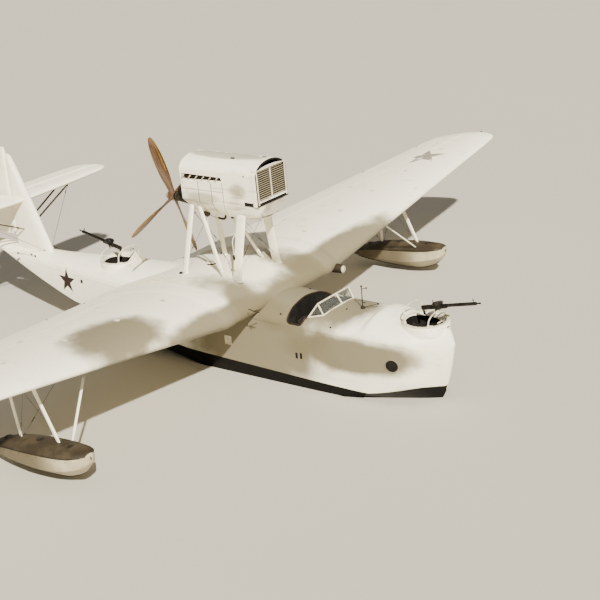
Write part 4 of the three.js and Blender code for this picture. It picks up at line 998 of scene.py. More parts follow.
def arc_about_hinge(out, grow, limit, count):
    """Points ahead of the hinge line on a round nose or cove that meets both skins."""
    upper, lower = nose_height(out, 1), nose_height(out, -1)
    arc = [(a, lower + (upper - lower) * (math.sin(a) + 1) / 2 + grow)
           for a in spread(math.radians(-limit), math.radians(limit), count)]
    return [hinge_centre(out) + Vector((math.cos(a) * reach, 0, math.sin(a) * reach)) for a, reach in arc]


def leaned_skin(out, f, side, lean):
    """Point of the skin on a chord that leans outwards behind the hinge."""
    lead, trail, _, _ = wing_edges(out)
    return wing_skin(out + lean * max(0.0, f - hinge_share(out)) * (trail - lead), f, side)


def panel_ring(out, whole, lean=0.0, end=1.0):
    """Section of the outer panel up to a share of the chord behind the hinge, or folded into the cove."""
    start, lip = hinge_share(out), min(0.9, wing_share(out, hinge_aft(out) - LIP_AHEAD))
    front, last = wing_ring(out, lip), start + (1 - start) * end
    if not whole:
        cove = arc_about_hinge(out, COVE_GAP, 72, COVE_POINTS)
        return [front[0]] * (AFT_POINTS - 1) + front + [front[-1]] * (AFT_POINTS - 1) + cove
    above = [leaned_skin(out, f, 1, lean) for f in spread(last, lip, AFT_POINTS)[:-1]]
    below = [leaned_skin(out, f, -1, lean) for f in spread(lip, last, AFT_POINTS)[1:]]
    close = [below[-1].lerp(above[0], t) for t in spread(0, 1, COVE_POINTS + 2)[1:-1]]
    return above + front + below + close


print("hinge length", round((hinge_finish - hinge_start).length, 2), "m")

# %% [markdown]
# The outer panel's rings run out from the joint, along the aileron's bay and round the tip. A cover
# strip a few millimetres proud hides the joint with the centre section. Below hang the hinge
# brackets, a rail for a rack and, on the port side only, the landing lamp in its streamlined pod.

# %% Wing panels
STRIP_PROUD, STRIP_END = 0.0035, 0.985
WALL_FROM, WALL_TO = HINGE_FROM - ROOT_GAP, HINGE_TO + TIP_GAP
rings = [panel_ring(out, True) for out in (JOINT_Y + 0.0008, 1.72, 1.85)]
rings += [panel_ring(WALL_FROM, True, HINGE_LEAN, end) for end in (1.0, 0.0)]
rings += [panel_ring(out, False) for out in spread(WALL_FROM + 1e-4, WALL_TO - 1e-4, 36)]
rings += [panel_ring(WALL_TO, True, HINGE_LEAN, end) for end in (0.0, 1.0)]
for out in (9.04, 9.12, 9.20, 9.27, 9.33, 9.38, 9.42, 9.45, 9.475, 9.49, WING_END):
    rings.append(panel_ring(out, True, HINGE_LEAN * max(0.0, (9.40 - out) / (9.40 - HINGE_TO))))
wing = Bench()
wing.skin(rings)
wing.skin([wing_ring(out, STRIP_END, proud) for out, proud in
           ((JOINT_Y + 0.001, STRIP_PROUD), (1.855, STRIP_PROUD), (1.870, -0.001))])

RACK_FROM, RACK_TO, RACK_OUT, RACK_BOLT_UP = 5.25, 5.75, 2.5, 1.887
wing.skin([[at(aft, RACK_OUT + y, up) for y, up in (
    (-0.06, 1.99), (-0.06, 1.895), (-0.05, 1.885), (0.05, 1.885), (0.06, 1.895), (0.06, 2.02))]
    for aft in (RACK_FROM, RACK_TO)])
wing.finish = 1
BRACKET = [(0.17, 0.03), (0.15, -0.012), (0.02, -0.03), (-0.015, -0.012), (0.02, 0.004)]
for out in (2.6, 4.4, 6.2, 8.3):
    low = hinge_centre(out) - Z_WAY * (nose_height(out, -1) + 0.016)
    wing.plate([low + Vector((x, 0, z)) for x, z in BRACKET], Y_WAY * 0.016)
    wing.turned([(0.012, -0.016), (0.012, 0.016)], low - Z_WAY * 0.012, Y_WAY, 12)
for aft in (5.30, 5.50, 5.70):
    wing.turned([(0.016, 0), (0.016, -0.02), (0.006, -0.03)], at(aft, RACK_OUT, RACK_BOLT_UP), sides=12)
wing_other = wing.other_side()

LAMP = at(4.235, 1.85, 1.985)
# Columns: distance behind the lens, rise, radius
POD = [(0.0, 0, 0.076), (0.02, 0, 0.086), (0.065, 0, 0.098), (0.2, 0.0, 0.104), (0.385, 0.004, 0.090),
       (0.52, 0.012, 0.064), (0.60, 0.02, 0.040), (0.645, 0.025, 0.014)]
wing.finish = 3
wing.tube([LAMP + Vector((-x, 0, z)) for x, z, _ in POD], [radius for _, _, radius in POD], 28)
wing.finish = 1
wing.turned([(0.072, 0), (0.081, 0.002), (0.081, 0.012), (0.073, 0.014), (0.067, 0.008)],
            LAMP - X_WAY * 0.002, X_WAY, 32, closed=True)
wing.finish = 2
wing.turned([(0.070, 0), (0.052, 0.012), (0.026, 0.018), (0, 0.020)], LAMP, X_WAY, 28)
make("wing_left_skin", wing, [WING, GREY_METAL, PALE_METAL, FLOAT_DECK], ["wing_left"], 32)
make("wing_right_skin", wing_other, [WING, GREY_METAL], ["wing_right"], 32)

middle = Bench()
middle.skin([wing_ring(out) for out in spread(-JOINT_Y, JOINT_Y, 9)])
for turn in (-1, 1):
    middle.skin([wing_ring(turn * out, STRIP_END, proud) for out, proud in
                 ((JOINT_Y - 0.0005, STRIP_PROUD), (1.475, STRIP_PROUD), (1.460, -0.001))])
make("wing_centre_skin", middle, [WING], ["wing_centre"], 32)
print("wing skins with", len(wing.faces), "and", len(middle.faces), "faces")

# %% [markdown]
# Ailerons, elevators and rudder are fabric over ribs. Doped linen draws tight between the ribs and
# sinks a little, so the skin is scalloped: its thickness dips by a few millimetres halfway between
# two ribs. That sag is real geometry here, because it catches the light along the whole span.

# %% Ailerons
RIB_SPACING, RIB_SAG = 0.29, 0.0035


def sag(distance):
    """How far the fabric sinks at a distance along a control surface."""
    return RIB_SAG * math.sin(math.pi * distance / RIB_SPACING) ** 2


def aileron_ring(out):
    start, dip = hinge_share(out), sag(out - HINGE_FROM)
    rows = [(start + (1 - start) * t, dip * math.sin(math.pi * min(1.0, 0.12 + t * 0.88)))
            for t in spread(0, 1, 12)]
    upper, lower = ([leaned_skin(out, f, side, HINGE_LEAN) - Z_WAY * side * press for f, press in rows]
                    for side in (1, -1))
    return arc_about_hinge(out, 0.0, 88, 11) + upper + lower[::-1]


aileron = Bench()
aileron.skin([aileron_ring(out) for out in spread(HINGE_FROM, HINGE_TO, 145)])
aileron.finish = 1
HORN = [(0.05, 0.01), (0.02, -0.10), (-0.01, -0.105), (-0.06, 0.01)]
for out in (3.4, 6.9):
    root = wing_skin(out, wing_share(out, hinge_aft(out) + 0.10), -1)
    aileron.plate([root + Vector((x, 0, z)) for x, z in HORN], Y_WAY * 0.01)
make_pair("aileron_{}", aileron, [FABRIC, GREY_METAL], 40, "aileron_{}")
print("ribs in an aileron:", round((HINGE_TO - HINGE_FROM) / RIB_SPACING))

# %% [markdown]
# Fin and tailplane are one crossed structure: the tailplane passes through the fin halfway up and
# a pair of short struts on each side holds it from below. Both have a round nose and flat sides,
# given by one small thickness table. The fin stops ahead of the rudder post, and the tailplane's
# root is cut back there as well, so that the rudder can swing.

# %% Fin and rudder
# Columns: share of the chord, share of the half thickness
SIDE_CURVE = [(0.0, 0.0), (0.03, 0.50), (0.10, 0.80), (0.28, 1.0), (0.65, 0.95), (1.0, 0.72)]
RUDDER_HINGE, RUDDER_NOSE, FIN_BACK, RUDDER_FOOT = 12.35, 0.066, 12.26, 2.40
# Columns: up, leading edge aft, half thickness
FIN_ROWS = [(2.02, 11.130, 0.118), (3.15, 11.610, 0.100), (4.15, 12.080, 0.074), (4.29, 12.150, 0.052),
            (4.345, 12.210, 0.026)]
# Columns: up, trailing edge aft, share of the nose radius
RUDDER_ROWS = [(RUDDER_FOOT, 13.120, 0.6), (2.56, 13.330, 1.0), (3.00, 13.470, 1.0), (3.50, 13.500, 1.0),
               (4.00, 13.400, 0.95), (4.35, 13.110, 0.8), (4.50, 12.780, 0.45)]
EDGE_HALF = 0.004


def side_width(f):
    """Half thickness of fin or tailplane at a share of its chord; the nose is a true round."""
    return 0.5 * math.sqrt(max(f, 0.0) / 0.03) if f < 0.03 else curve_through(SIDE_CURVE, f)[0]


def fin_ring(up):
    lead, half = curve_through(FIN_ROWS, up)
    port = [at(lead + (FIN_BACK - lead) * t * t, side_width(t * t) * half, up) for t in spread(0, 1, 16)]
    return port + [mirror(p) for p in port[:0:-1]]


def round_nosed_ring(place, reach, radius, dip):
    """Section of a control surface: a round nose about its hinge and two flat sides to the rear."""
    side = [(-reach * t, radius + (EDGE_HALF - radius) * t - dip * math.sin(math.pi * t))
            for t in spread(0.08, 1.0, 12)]
    nose = [(radius * math.cos(a), radius * math.sin(a)) for a in spread(-math.pi / 2, math.pi / 2, 13)]
    return [place(x, y) for x, y in nose + side + [(x, -y) for x, y in side[::-1]]]


def rudder_ring(up):
    trail, share = curve_through(RUDDER_ROWS, up)
    return round_nosed_ring(lambda x, y: at(RUDDER_HINGE - x, y, up), trail - RUDDER_HINGE,
                            RUDDER_NOSE * share, sag(up - RUDDER_FOOT))


fin = Bench()
fin.skin([fin_ring(up) for up in spread(2.02, 4.28, 30) + [4.31, 4.33, 4.34, 4.345]])
fin.finish = 1
for up in (2.72, 3.76, 4.18):
    fin.box(at(RUDDER_HINGE - 0.074, 0, up), (0.05, 0.022, 0.03))
    fin.turned([(0.014, -0.03), (0.014, 0.03)], at(RUDDER_HINGE - 0.078, 0, up), sides=12)
fin.finish = 0
# Pale half-round strip along the fin's nose
fin.tube([fin_ring(up)[0] + X_WAY * 0.001 for up in spread(2.14, 4.26, 24)], 0.010, 10)
make("fin_skin", fin, [FABRIC, GREY_METAL], ["fin"], 34)

rudder = Bench()
rudder.skin([rudder_ring(up) for up in [RUDDER_FOOT, 2.405, 2.415, 2.43] + spread(2.46, 4.44, 66)
             + [4.46, 4.48, 4.492, 4.50]])
rudder.finish = 1
for turn in (-1, 1):
    rudder.plate([at(RUDDER_HINGE + s, turn * y, 2.62) for s, y in (
        (-0.03, 0.05), (0.005, 0.185), (0.03, 0.185), (0.09, 0.05))], Z_WAY * 0.01)
    rudder.dome(at(RUDDER_HINGE + 0.015, turn * 0.172, 2.626), Z_WAY, 0.010)
# Balance tab on the rudder's rear edge
rudder.finish = 0
rudder.skin([[at(13.43 + s, y, up) for s, y in ((0.0, 0.012), (0.068, 0.003), (0.068, -0.003), (0.0, -0.012))]
             for up in (2.98, 3.52)])
make("rudder_skin", rudder, [FABRIC, GREY_METAL], ["rudder"], 40, "rudder")
print("rudder height", round(RUDDER_ROWS[-1][0] - RUDDER_FOOT, 2), "m")

# %% [markdown]
# The elevators are two halves on one tube. Their inner ends slope away behind the hinge to leave
# the rudder its swing, and the rings near the root lean to follow that cut.

# %% Tailplane, elevators and their struts
TAIL_UP, ELEVATOR_HINGE, TAIL_HALF, TAIL_GAP, TAIL_TIP = 3.30, 12.44, 0.078, 0.014, 2.91
RUDDER_ROOM_AFT, RUDDER_ROOM_OUT, ELEVATOR_ROOT = 12.17, 0.106, 0.15
RUDDER_SWEEP, SWEEP_REACH = math.tan(math.radians(31)), 0.62
TIP_ROWS = [2.84, 2.87, 2.89, 2.905, TAIL_TIP]
# Columns: out, leading edge aft, trailing edge aft, share of the half thickness
TAIL_ROWS = [(0.0, 11.800, 13.010, 1.0), (2.15, 11.940, 13.000, 0.85), (2.60, 11.985, 12.930, 0.72),
             (2.82, 12.080, 12.790, 0.5), (TAIL_TIP, 12.240, 12.600, 0.25)]
TAIL_BACK = ELEVATOR_HINGE - TAIL_HALF - TAIL_GAP


def tailplane_ring(out, back=TAIL_BACK):
    lead, _, share = curve_through(TAIL_ROWS, out)
    shares = [t * t * (back - lead) / (TAIL_BACK - lead) for t in spread(0, 1, 16)]
    width = [(f, min(1.0, side_width(min(f * 0.6, 0.3))) if f < 0.5 else 1.0) for f in shares]
    upper, lower = ([at(lead + (TAIL_BACK - lead) * f, out, TAIL_UP + turn * w * TAIL_HALF * share)
                     for f, w in width] for turn in (1, -1))
    return upper + lower[:0:-1]


def elevator_ring(out):
    _, trail, share = curve_through(TAIL_ROWS, out)
    lean = RUDDER_SWEEP * max(0.0, 1 - (out - ELEVATOR_ROOT) / SWEEP_REACH)
    return round_nosed_ring(
        lambda x, z: at(ELEVATOR_HINGE - x, min(out + lean * max(0.0, -x), TAIL_TIP), TAIL_UP + z),
        trail - ELEVATOR_HINGE, TAIL_HALF * share, sag(out) * share)


tailplane = Bench()
tailplane.skin([tailplane_ring(out, RUDDER_ROOM_AFT) for out in (0.06, RUDDER_ROOM_OUT - 0.001)]
               + [tailplane_ring(out) for out in [RUDDER_ROOM_OUT] + spread(0.2, 2.8, 26) + TIP_ROWS])
tailplane.finish = 1
for out in (0.30, 1.18, 2.06):
    tailplane.box(at(TAIL_BACK + 0.004, out, TAIL_UP), (0.03, 0.024, 0.03))
make_pair("tailplane_{}", tailplane, [FABRIC, GREY_METAL], 34)

elevator = Bench()
elevator.skin([elevator_ring(out) for out in spread(ELEVATOR_ROOT, 2.80, 88) + TIP_ROWS])
elevator.finish = 1
elevator.tube([at(ELEVATOR_HINGE, out, TAIL_UP) for out in (0.128, 0.20)], 0.026, 16)
elevator.plate([at(ELEVATOR_HINGE + s, 0.50, TAIL_UP + z) for s, z in (
    (-0.04, -0.06), (0.0, -0.19), (0.03, -0.19), (0.10, -0.05))], Y_WAY * 0.01)
make_pair("elevator_{}", elevator, [FABRIC, GREY_METAL], 40, "elevators")

STRUT_TOP_OUT = 1.48
# The struts' bars take the dark metal finish: painted shade, for the shade they stand in below the tailplane
for name, top_aft, foot_aft in (("front", 12.02, 11.95), ("rear", 12.30, 12.17)):
    foot, top = at(foot_aft, 0.075, 2.575), at(top_aft, STRUT_TOP_OUT, TAIL_UP - TAIL_HALF + 0.004)
    strut = Bench()
    # Columns: share of the length, chord, thickness
    strut.foil(foot, top, [(0.0, 0.040, 0.026), (0.05, 0.048, 0.028), (0.12, 0.064, 0.034),
                           (0.88, 0.064, 0.034), (0.95, 0.048, 0.028), (1.0, 0.040, 0.026)], 18)
    strut.finish = 1
    for place, lift in ((foot, 1), (top, -1)):
        strut.box(place + (top - foot).normalized() * 0.02 * lift, (0.07, 0.012, 0.05))
        strut.turned([(0.011, -0.02), (0.011, 0.02)], place, X_WAY, 10)
    make_pair("tail_strut_" + name + "_{}", strut, [DARK, GREY_METAL], 40)
print("tailplane span", 2 * TAIL_TIP, "m")

# %% [markdown]
# The engine rides in its own housing above the wing, clear of the spray. The upper cowl is a barrel
# arch of sheet metal, open at both ends and slotted for the exhausts; the lower shell is a shallow
# boat-like belly. The arch is one outline used three times, for the cowl, for its inner face and
# for the radiator's frame.

# %% Cowl
NACELLE_FRONT, NACELLE_REAR, COWL_FRONT = 4.43, 6.40, 4.52
COWL_HALF, COWL_FLOOR, COWL_EDGE, COWL_CROWN, COWL_WALL = 0.47, 4.0, 4.6, 4.86, 0.024
SLOT = [(5.29, 4.455), (5.31, 4.520), (6.35, 4.535), (6.37, 4.450), (6.36, 4.425)]


def arch(shrink=0.0, floor=COWL_FLOOR, steps=18):
    """Arch outline as (out, up), from the port foot over the crown to the starboard foot."""
    half, crown = COWL_HALF - shrink, COWL_CROWN - shrink
    port = [(half, up) for up in spread(floor, COWL_EDGE, 5)[:-1]]
    port += [(half * math.cos(a), COWL_EDGE + (crown - COWL_EDGE) * math.sin(a))
             for a in spread(0, math.pi / 2, steps)]
    return port + [(-y, z) for y, z in port[-2::-1]]


def arch_band(bench, front, rear, proud, inner, floor=COWL_FLOOR, rings=2):
    """Sheet or strap that follows the arch between two stations."""
    line = arch(-proud, floor) + arch(inner, floor)[::-1]
    bench.skin([[at(aft, y, z) for y, z in line] for aft in spread(front, rear, rings)])


def inside_cowl(centre, normal):
    reach = math.hypot(centre.y / (COWL_HALF - COWL_WALL / 2),
                       max(0.0, centre.z + DRAFT - COWL_EDGE) / (COWL_CROWN - COWL_EDGE - COWL_WALL / 2))
    return reach < 1.0 and abs(normal.x) < 0.5


cowl_sheet, slot_tool = Bench(), Bench()
arch_band(cowl_sheet, COWL_FRONT, NACELLE_REAR - 0.01, 0.0, COWL_WALL, rings=8)
slot_tool.skin([[at(aft, out, up) for aft, up in SLOT] for out in (-0.8, 0.8)])
cowl_piece = make("cowl_upper_skin", cowl_sheet, [COWL, BLACK_AND_SHADE, GREY_METAL], ["cowl_upper"], 30)
cut(cowl_piece, slot_tool)
# The arch's inner face takes the near-black finish: painted shade inside the housing
refinish(cowl_piece, 1, inside_cowl)
print("housing", round(NACELLE_REAR - NACELLE_FRONT, 2), "m long")

# %% [markdown]
# Narrow straps with rows of rivets cover the joints of the sheets. Two of them meet the exhaust
# slot, so they stop above it and go on below. The lower shell's sections come from a short table:
# the lower the fullness of its bilge, the rounder its corner.

# %% Straps and lower shell
STRAP_THICK, STRAP_SINK, STRAP_RIVET = 0.003, 0.0005, 0.0045
SLOT_TOP = 4.547
straps = Bench()
for aft, width in ((4.535, 0.028), (5.275, 0.022), (5.59, 0.016), (5.93, 0.016), (6.372, 0.024)):
    beside_slot = 5.3 < aft < 6.3
    arch_band(straps, aft - width / 2, aft + width / 2, STRAP_THICK, -STRAP_SINK,
              SLOT_TOP if beside_slot else COWL_FLOOR + 0.004)
    for turn in (-1, 1) if beside_slot else ():
        straps.box(at(aft, turn * (COWL_HALF + STRAP_THICK / 2), 4.212), (width, STRAP_THICK, 0.416))
    line = arch(-STRAP_THICK, COWL_FLOOR + 0.03, 22)
    for (y0, z0), (y1, z1) in zip(line, line[1:]):
        out_way = Vector((0, z1 - z0, y0 - y1)).normalized()
        if not (4.42 < z0 < 4.56 and 5.2 < aft < 6.39):
            straps.dome(at(aft, y0, z0), out_way if out_way.y * y0 >= 0 else -out_way, STRAP_RIVET, 6)
for turn in (-1, 1):
    for up, start, end in ((4.385, 5.27, 6.38), (4.03, 4.54, 6.38)):
        straps.box(at((start + end) / 2, turn * (COWL_HALF + STRAP_THICK / 2), up),
                   (end - start, STRAP_THICK, 0.020))
        for aft in spread(start + 0.02, end - 0.02, 26):
            straps.dome(at(aft, turn * (COWL_HALF + STRAP_THICK), up), Y_WAY * turn, 0.004, 6)
    # Louvres on their plate
    for k in range(5):
        straps.box(at(4.89, turn * (COWL_HALF + 0.004), 4.235 + 0.022 * k), (0.11, 0.012, 0.009))
    straps.box(at(4.89, turn * (COWL_HALF + 0.001), 4.28), (0.14, 0.004, 0.14))
# Two lifting eyes, a small round vent on each side and two dark vents on top
for aft in (4.72, 5.60):
    straps.turned([(0.020, 0), (0.028, 0.004), (0.020, 0.012), (0.012, 0.004)],
                  at(aft, 0.13, COWL_CROWN - 0.012), sides=14, closed=True)
straps.finish = 1
for turn in (-1, 1):
    straps.turned([(0.018, 0.004), (0.018, -0.004)], at(4.71, turn * COWL_HALF, 4.60), Y_WAY, 14)
for aft, out in ((4.60, 0.10), (5.20, -0.16)):
    straps.box(at(aft, out, COWL_CROWN - 0.01), (0.09, 0.04, 0.02))
make("cowl_straps", straps, [COWL, BLACK_AND_SHADE])

# Columns: aft, bottom up, half width, fullness of the bilge
BELLY = [(4.43, 3.745, 0.400, 0.15), (4.62, 3.672, 0.450, 0.12), (5.15, 3.645, 0.468, 0.16),
         (5.80, 3.640, 0.466, 0.45), (6.40, 3.680, 0.440, 0.60)]
BELLY_TOP = COWL_FLOOR - 0.0005


def belly_ring(aft, grow=0.0):
    bottom, half, bilge = curve_through(BELLY, aft)
    corners = [(0, 0, bottom), (0, half * 0.42, bottom + 0.018),
               (0, half * 0.76, bottom + (BELLY_TOP - bottom) * bilge),
               (0, half, BELLY_TOP - 0.06 * (1 - bilge) - 0.002), (0, half, BELLY_TOP)]
    port = [at(aft, p.y + grow, p.z - grow) for p in smooth_line(corners, 5)]
    return port + [mirror(p) for p in port[:0:-1]]


belly = Bench()
belly.skin([belly_ring(aft) for aft in spread(NACELLE_FRONT, NACELLE_REAR, 24)])
for aft, width in ((4.50, 0.020), (5.27, 0.022), (5.95, 0.018), (6.37, 0.024)):
    belly.skin([belly_ring(aft + side * width / 2, STRAP_THICK) for side in (-1, 1)])
    for p in belly_ring(aft, STRAP_THICK)[1:-1:2]:
        belly.dome(p, Vector((0, p.y, -0.25)), STRAP_RIVET, 6)
# Curved ribs over the chin; the bent drain pipe, oil sump and filter cup below
belly.finish = 1
for out, below in ((0.0, 0.008), (0.16, -0.008), (-0.16, -0.008)):
    belly.tube([at(aft, out, curve_through(BELLY, aft)[0] - below) for aft in spread(4.44, 4.95, 8)],
               0.006, 8)
belly.pipe([(5.52, -0.20, 3.66), (5.53, -0.21, 3.60), (5.60, -0.21, 3.57), (5.72, -0.20, 3.575)], 0.022, 12)
belly.turned([(0.075, 0), (0.07, -0.06), (0.045, -0.095), (0, -0.10)], at(6.02, -0.20, 3.675), sides=18)
belly.turned([(0.036, 0), (0.036, -0.06), (0, -0.065)], at(5.36, -0.18, 3.66), sides=16)
make("cowl_lower_skin", belly, [COWL, DARK], ["cowl_lower"], 34)
print("straps:", len(straps.faces), "faces")

# %% [markdown]
# The honeycomb radiator fills the front of the housing behind level shutters. Fourteen thin slats in
# two leaves turn on the side frame, with a pale post between the leaves; each is tilted a little,
# so that its upper face catches the light and the gap below it stays dark. The core behind them is
# near black, partly painted shade, and near-black bands and plates paint the shade in the gaps
# round the frame and above the chin.

# %% Radiator
GRILLE_SILL, GRILLE_HEAD, SLATS, SLAT_TILT = 4.09, 4.70, 14, math.radians(2)
GRILLE_MIDDLE, GRILLE_HIGH = (GRILLE_SILL + GRILLE_HEAD) / 2, GRILLE_HEAD - GRILLE_SILL
grille = Bench(1)
# Near-black band under the frame's painted face: painted shade in the gap along its edges
arch_band(grille, NACELLE_FRONT - 0.030, COWL_FRONT - 0.0006, 0.0, 0.034)
grille.finish = 2
arch_band(grille, NACELLE_FRONT - 0.012, COWL_FRONT - 0.006, 0.0015, -0.0005)
grille.box(at(4.4625, 0, GRILLE_SILL - 0.015), (0.113, 2 * COWL_HALF - 0.03, 0.030))
grille.box(at(4.4625, 0, GRILLE_HEAD + 0.011), (0.113, 2 * COWL_HALF - 0.03, 0.022))
grille.finish = 0
grille.box(at(4.404, 0, GRILLE_HEAD + 0.012), (0.010, 0.86, 0.020))
grille.box(at(NACELLE_FRONT - 0.012, 0, GRILLE_MIDDLE), (0.018, 0.020, GRILLE_HIGH))
for turn in (-1, 1):
    grille.box(at(4.404, turn * 0.440, GRILLE_MIDDLE - 0.03), (0.010, 0.036, GRILLE_HIGH + 0.06))
tilted = [Matrix.Rotation(SLAT_TILT, 3, "Y") @ way for way in (X_WAY, Y_WAY, Z_WAY)]
grille.finish = 3
for k in range(SLATS):
    up = GRILLE_SILL + 0.012 + (k + 0.5) * (GRILLE_HIGH - 0.02) / SLATS
    for turn in (-1, 1):
        grille.box(at(4.432, turn * 0.222, up), (0.016, 0.420, 0.010), tilted)
# Painted shade: near-black plates in the gap between the frame and the chin and along the cowl's foot behind
# the frame
grille.finish = 1
grille.box(at(4.416, 0, 4.033), (0.022, 0.935, 0.062))
for turn in (-1, 1):
    grille.box(at(4.635, turn * 0.4725, 4.036), (0.225, 0.005, 0.070))
make("radiator_shutters", grille, [PALE_METAL, BLACK_AND_SHADE, COWL, SLAT], ["radiator_grille"], 34)

core = Bench()
core.box(at(4.590, 0, 4.38), (0.139, 2 * (COWL_HALF - 0.08), 0.62))
for k in range(24):
    core.box(at(4.520, 0, 4.085 + k * 0.0256), (0.006, 2 * (COWL_HALF - 0.085), 0.006))
core.finish = 1
core.turned([(0.05, 0), (0.055, 0.02), (0.03, 0.03)], at(4.60, 0.0, 4.69), sides=20)
core.box(at(4.60, 0, 4.035), (0.10, 0.86, 0.05))
make("radiator_core", core, [CORE_AND_SHADE, BRASS], ["radiator_block"])
print("slats:", 2 * SLATS)

# %% [markdown]
# Little of the engine shows: two rows of heads behind the exhaust slots and its accessories at the
# open rear. It is a narrow V of two blocks on a crankcase. The twelve exhaust stubs are short bent
# pipes that slant down and aft, each with a rim and a dark mouth. A near-black sheet behind each slot
# and a near-black plate at each stub's root are painted shade inside the housing.

# %% Engine and exhausts
STUB_AFTS = [5.40 + 0.178 * k for k in range(6)]
ENGINE_REAR, STUB_RADIUS = 6.28, 0.0155
engine = Bench()
engine.skin([[at(aft, y, z) for y, z in (
    (-0.15, 4.0), (0.15, 4.0), (0.23, 4.08), (0.23, 4.30), (0.10, 4.42), (-0.10, 4.42), (-0.23, 4.30),
    (-0.23, 4.08))] for aft in (4.80, ENGINE_REAR)])
for turn in (-1, 1):
    for aft in STUB_AFTS:
        engine.turned([(0.078, 0), (0.078, 0.19), (0.088, 0.20), (0.088, 0.235)],
                      at(aft, turn * 0.185, 4.33), (0, turn * 0.42, 1), 18)
    engine.skin([[at(aft, turn * y, z) for y, z in (
        (0.20, 4.545), (0.36, 4.49), (0.385, 4.55), (0.355, 4.60), (0.24, 4.61))]
        for aft in (5.29, ENGINE_REAR)])
    engine.finish = 1
    engine.turned([(0.055, 0), (0.06, 0.02), (0.06, 0.075), (0.03, 0.09)],
                  at(ENGINE_REAR, turn * 0.14, 4.24), -X_WAY, 18)
    engine.pipe([(6.30, turn * 0.14, 4.29), (6.34, turn * 0.20, 4.38), (6.30, turn * 0.27, 4.47)], 0.012, 8)
    engine.finish = 0
engine.turned([(0.16, 0), (0.17, 0.02), (0.15, 0.05), (0.06, 0.085), (0, 0.09)],
              at(ENGINE_REAR, 0, 4.10), -X_WAY, 28)
make("engine_dressed", engine, [DARK, GREY_METAL], ["engine_block"])

exhaust = Bench(2)
# Near-black sheet behind the slot: painted shade inside the housing
exhaust.box(at(5.7975, 0.4235, 4.480), (0.985, 0.044, 0.078))
for aft in STUB_AFTS:
    root = at(aft, 0.430, 4.502)
    path = smooth_line([root + Vector(step) for step in (
        (0, 0, 0), (-0.010, 0.024, -0.010), (-0.022, 0.046, -0.030), (-0.034, 0.062, -0.056))], 3)
    way = path[-1] - path[-2]
    exhaust.finish = 1
    exhaust.tube(path, STUB_RADIUS, 16)
    exhaust.turned([(STUB_RADIUS, -0.004), (0.018, 0.002), (0.015, 0.004), (0.012, -0.002)],
                   path[-1], way, 16, closed=True)
    exhaust.finish = 2
    exhaust.turned([(0.014, 0.0), (0.014, 0.0012)], path[-1], way, 16)
    # Near-black plate at the stub's root: painted shade in the slot
    exhaust.box(root + Vector((0, 0.018, -0.020)), (0.060, 0.008, 0.060))
make_pair("exhaust_{}", exhaust, [DARK, EXHAUST, BLACK_AND_SHADE], 40, ending="_stubs")

gear = Bench()
gear.turned([(0.175, 0), (0.178, 0.012), (0.160, 0.022), (0.146, 0.03), (0.138, 0.16), (0.112, 0.40),
             (0.094, 0.54), (0.104, 0.556), (0.104, 0.58), (0.088, 0.6036)],
            at(6.4006, 0, SHAFT_UP), -X_WAY, 40)
gear.finish = 1
for a in turns(12):
    gear.dome(at(6.4226, 0, SHAFT_UP) + spoke(a) * 0.162, -X_WAY, 0.009, 6)
make("gearbox_skin", gear, [DARK, GREY_METAL], ["gearbox"])
print("exhaust stubs:", 2 * len(STUB_AFTS))

# %% [markdown]
# The pusher propeller has four wooden blades in two crossed pairs. A blade is a twisted, tapering
# aerofoil: the table gives width, thickness and pitch at a few radii, and rings between them follow
# smooth curves. Sheet brass, tacked on, guards the leading edge of the outer part against spray.

# %% Propeller
PROP_REST, BLADES, HUB_RADIUS, HUB_HALF, PLATE = 20, 4, 0.105, 0.085, 0.008
# Columns: radius, width, thickness, pitch in degrees
BLADE = [(0.06, 0.120, 0.090, 62), (0.26, 0.150, 0.062, 54), (0.56, 0.205, 0.040, 40),
         (0.90, 0.215, 0.026, 29), (1.25, 0.170, 0.016, 22), (1.42, 0.090, 0.009, 19),
         (1.45, 0.036, 0.005, 19)]


def blade_ring(radius, proud=0.0, share=1.0):
    """Section of a blade, or of the brass on a share of its width from the leading edge."""
    width, thickness, pitch = curve_through(BLADE, radius)
    pitch = math.radians(pitch)
    ring = []
    for a in turns(24):
        full = 0.5 if math.sin(a) > 0 else 0.36
        u = (0.5 - (0.5 - 0.5 * math.cos(a)) * share) * (width + 2 * proud)
        v = (full * math.sin(a) * math.sqrt(max(0.0, 1 - 0.35 * math.cos(a))) * (thickness + 2 * proud)
             * (1 if share == 1.0 else 0.9))
        ring.append(Vector((u * math.sin(pitch) + v * math.cos(pitch),
                            u * math.cos(pitch) - v * math.sin(pitch), radius)))
    return ring


propeller = Bench()
for k in range(BLADES):
    turn = Matrix.Rotation(math.radians(PROP_REST + 360 * k / BLADES), 3, "X")
    for finish, radii, extra in ((0, spread(0.06, 1.40, 30) + [1.43, 1.445, 1.45], ()),
                                 (1, spread(0.62, 1.40, 14) + [1.43, 1.4515], (0.0012, 0.30))):
        propeller.finish = finish
        propeller.skin([[SHAFT + turn @ p for p in blade_ring(r, *extra)] for r in radii])
propeller.finish = 0
propeller.turned([(HUB_RADIUS, -HUB_HALF), (HUB_RADIUS, HUB_HALF)], SHAFT, -X_WAY, 40)
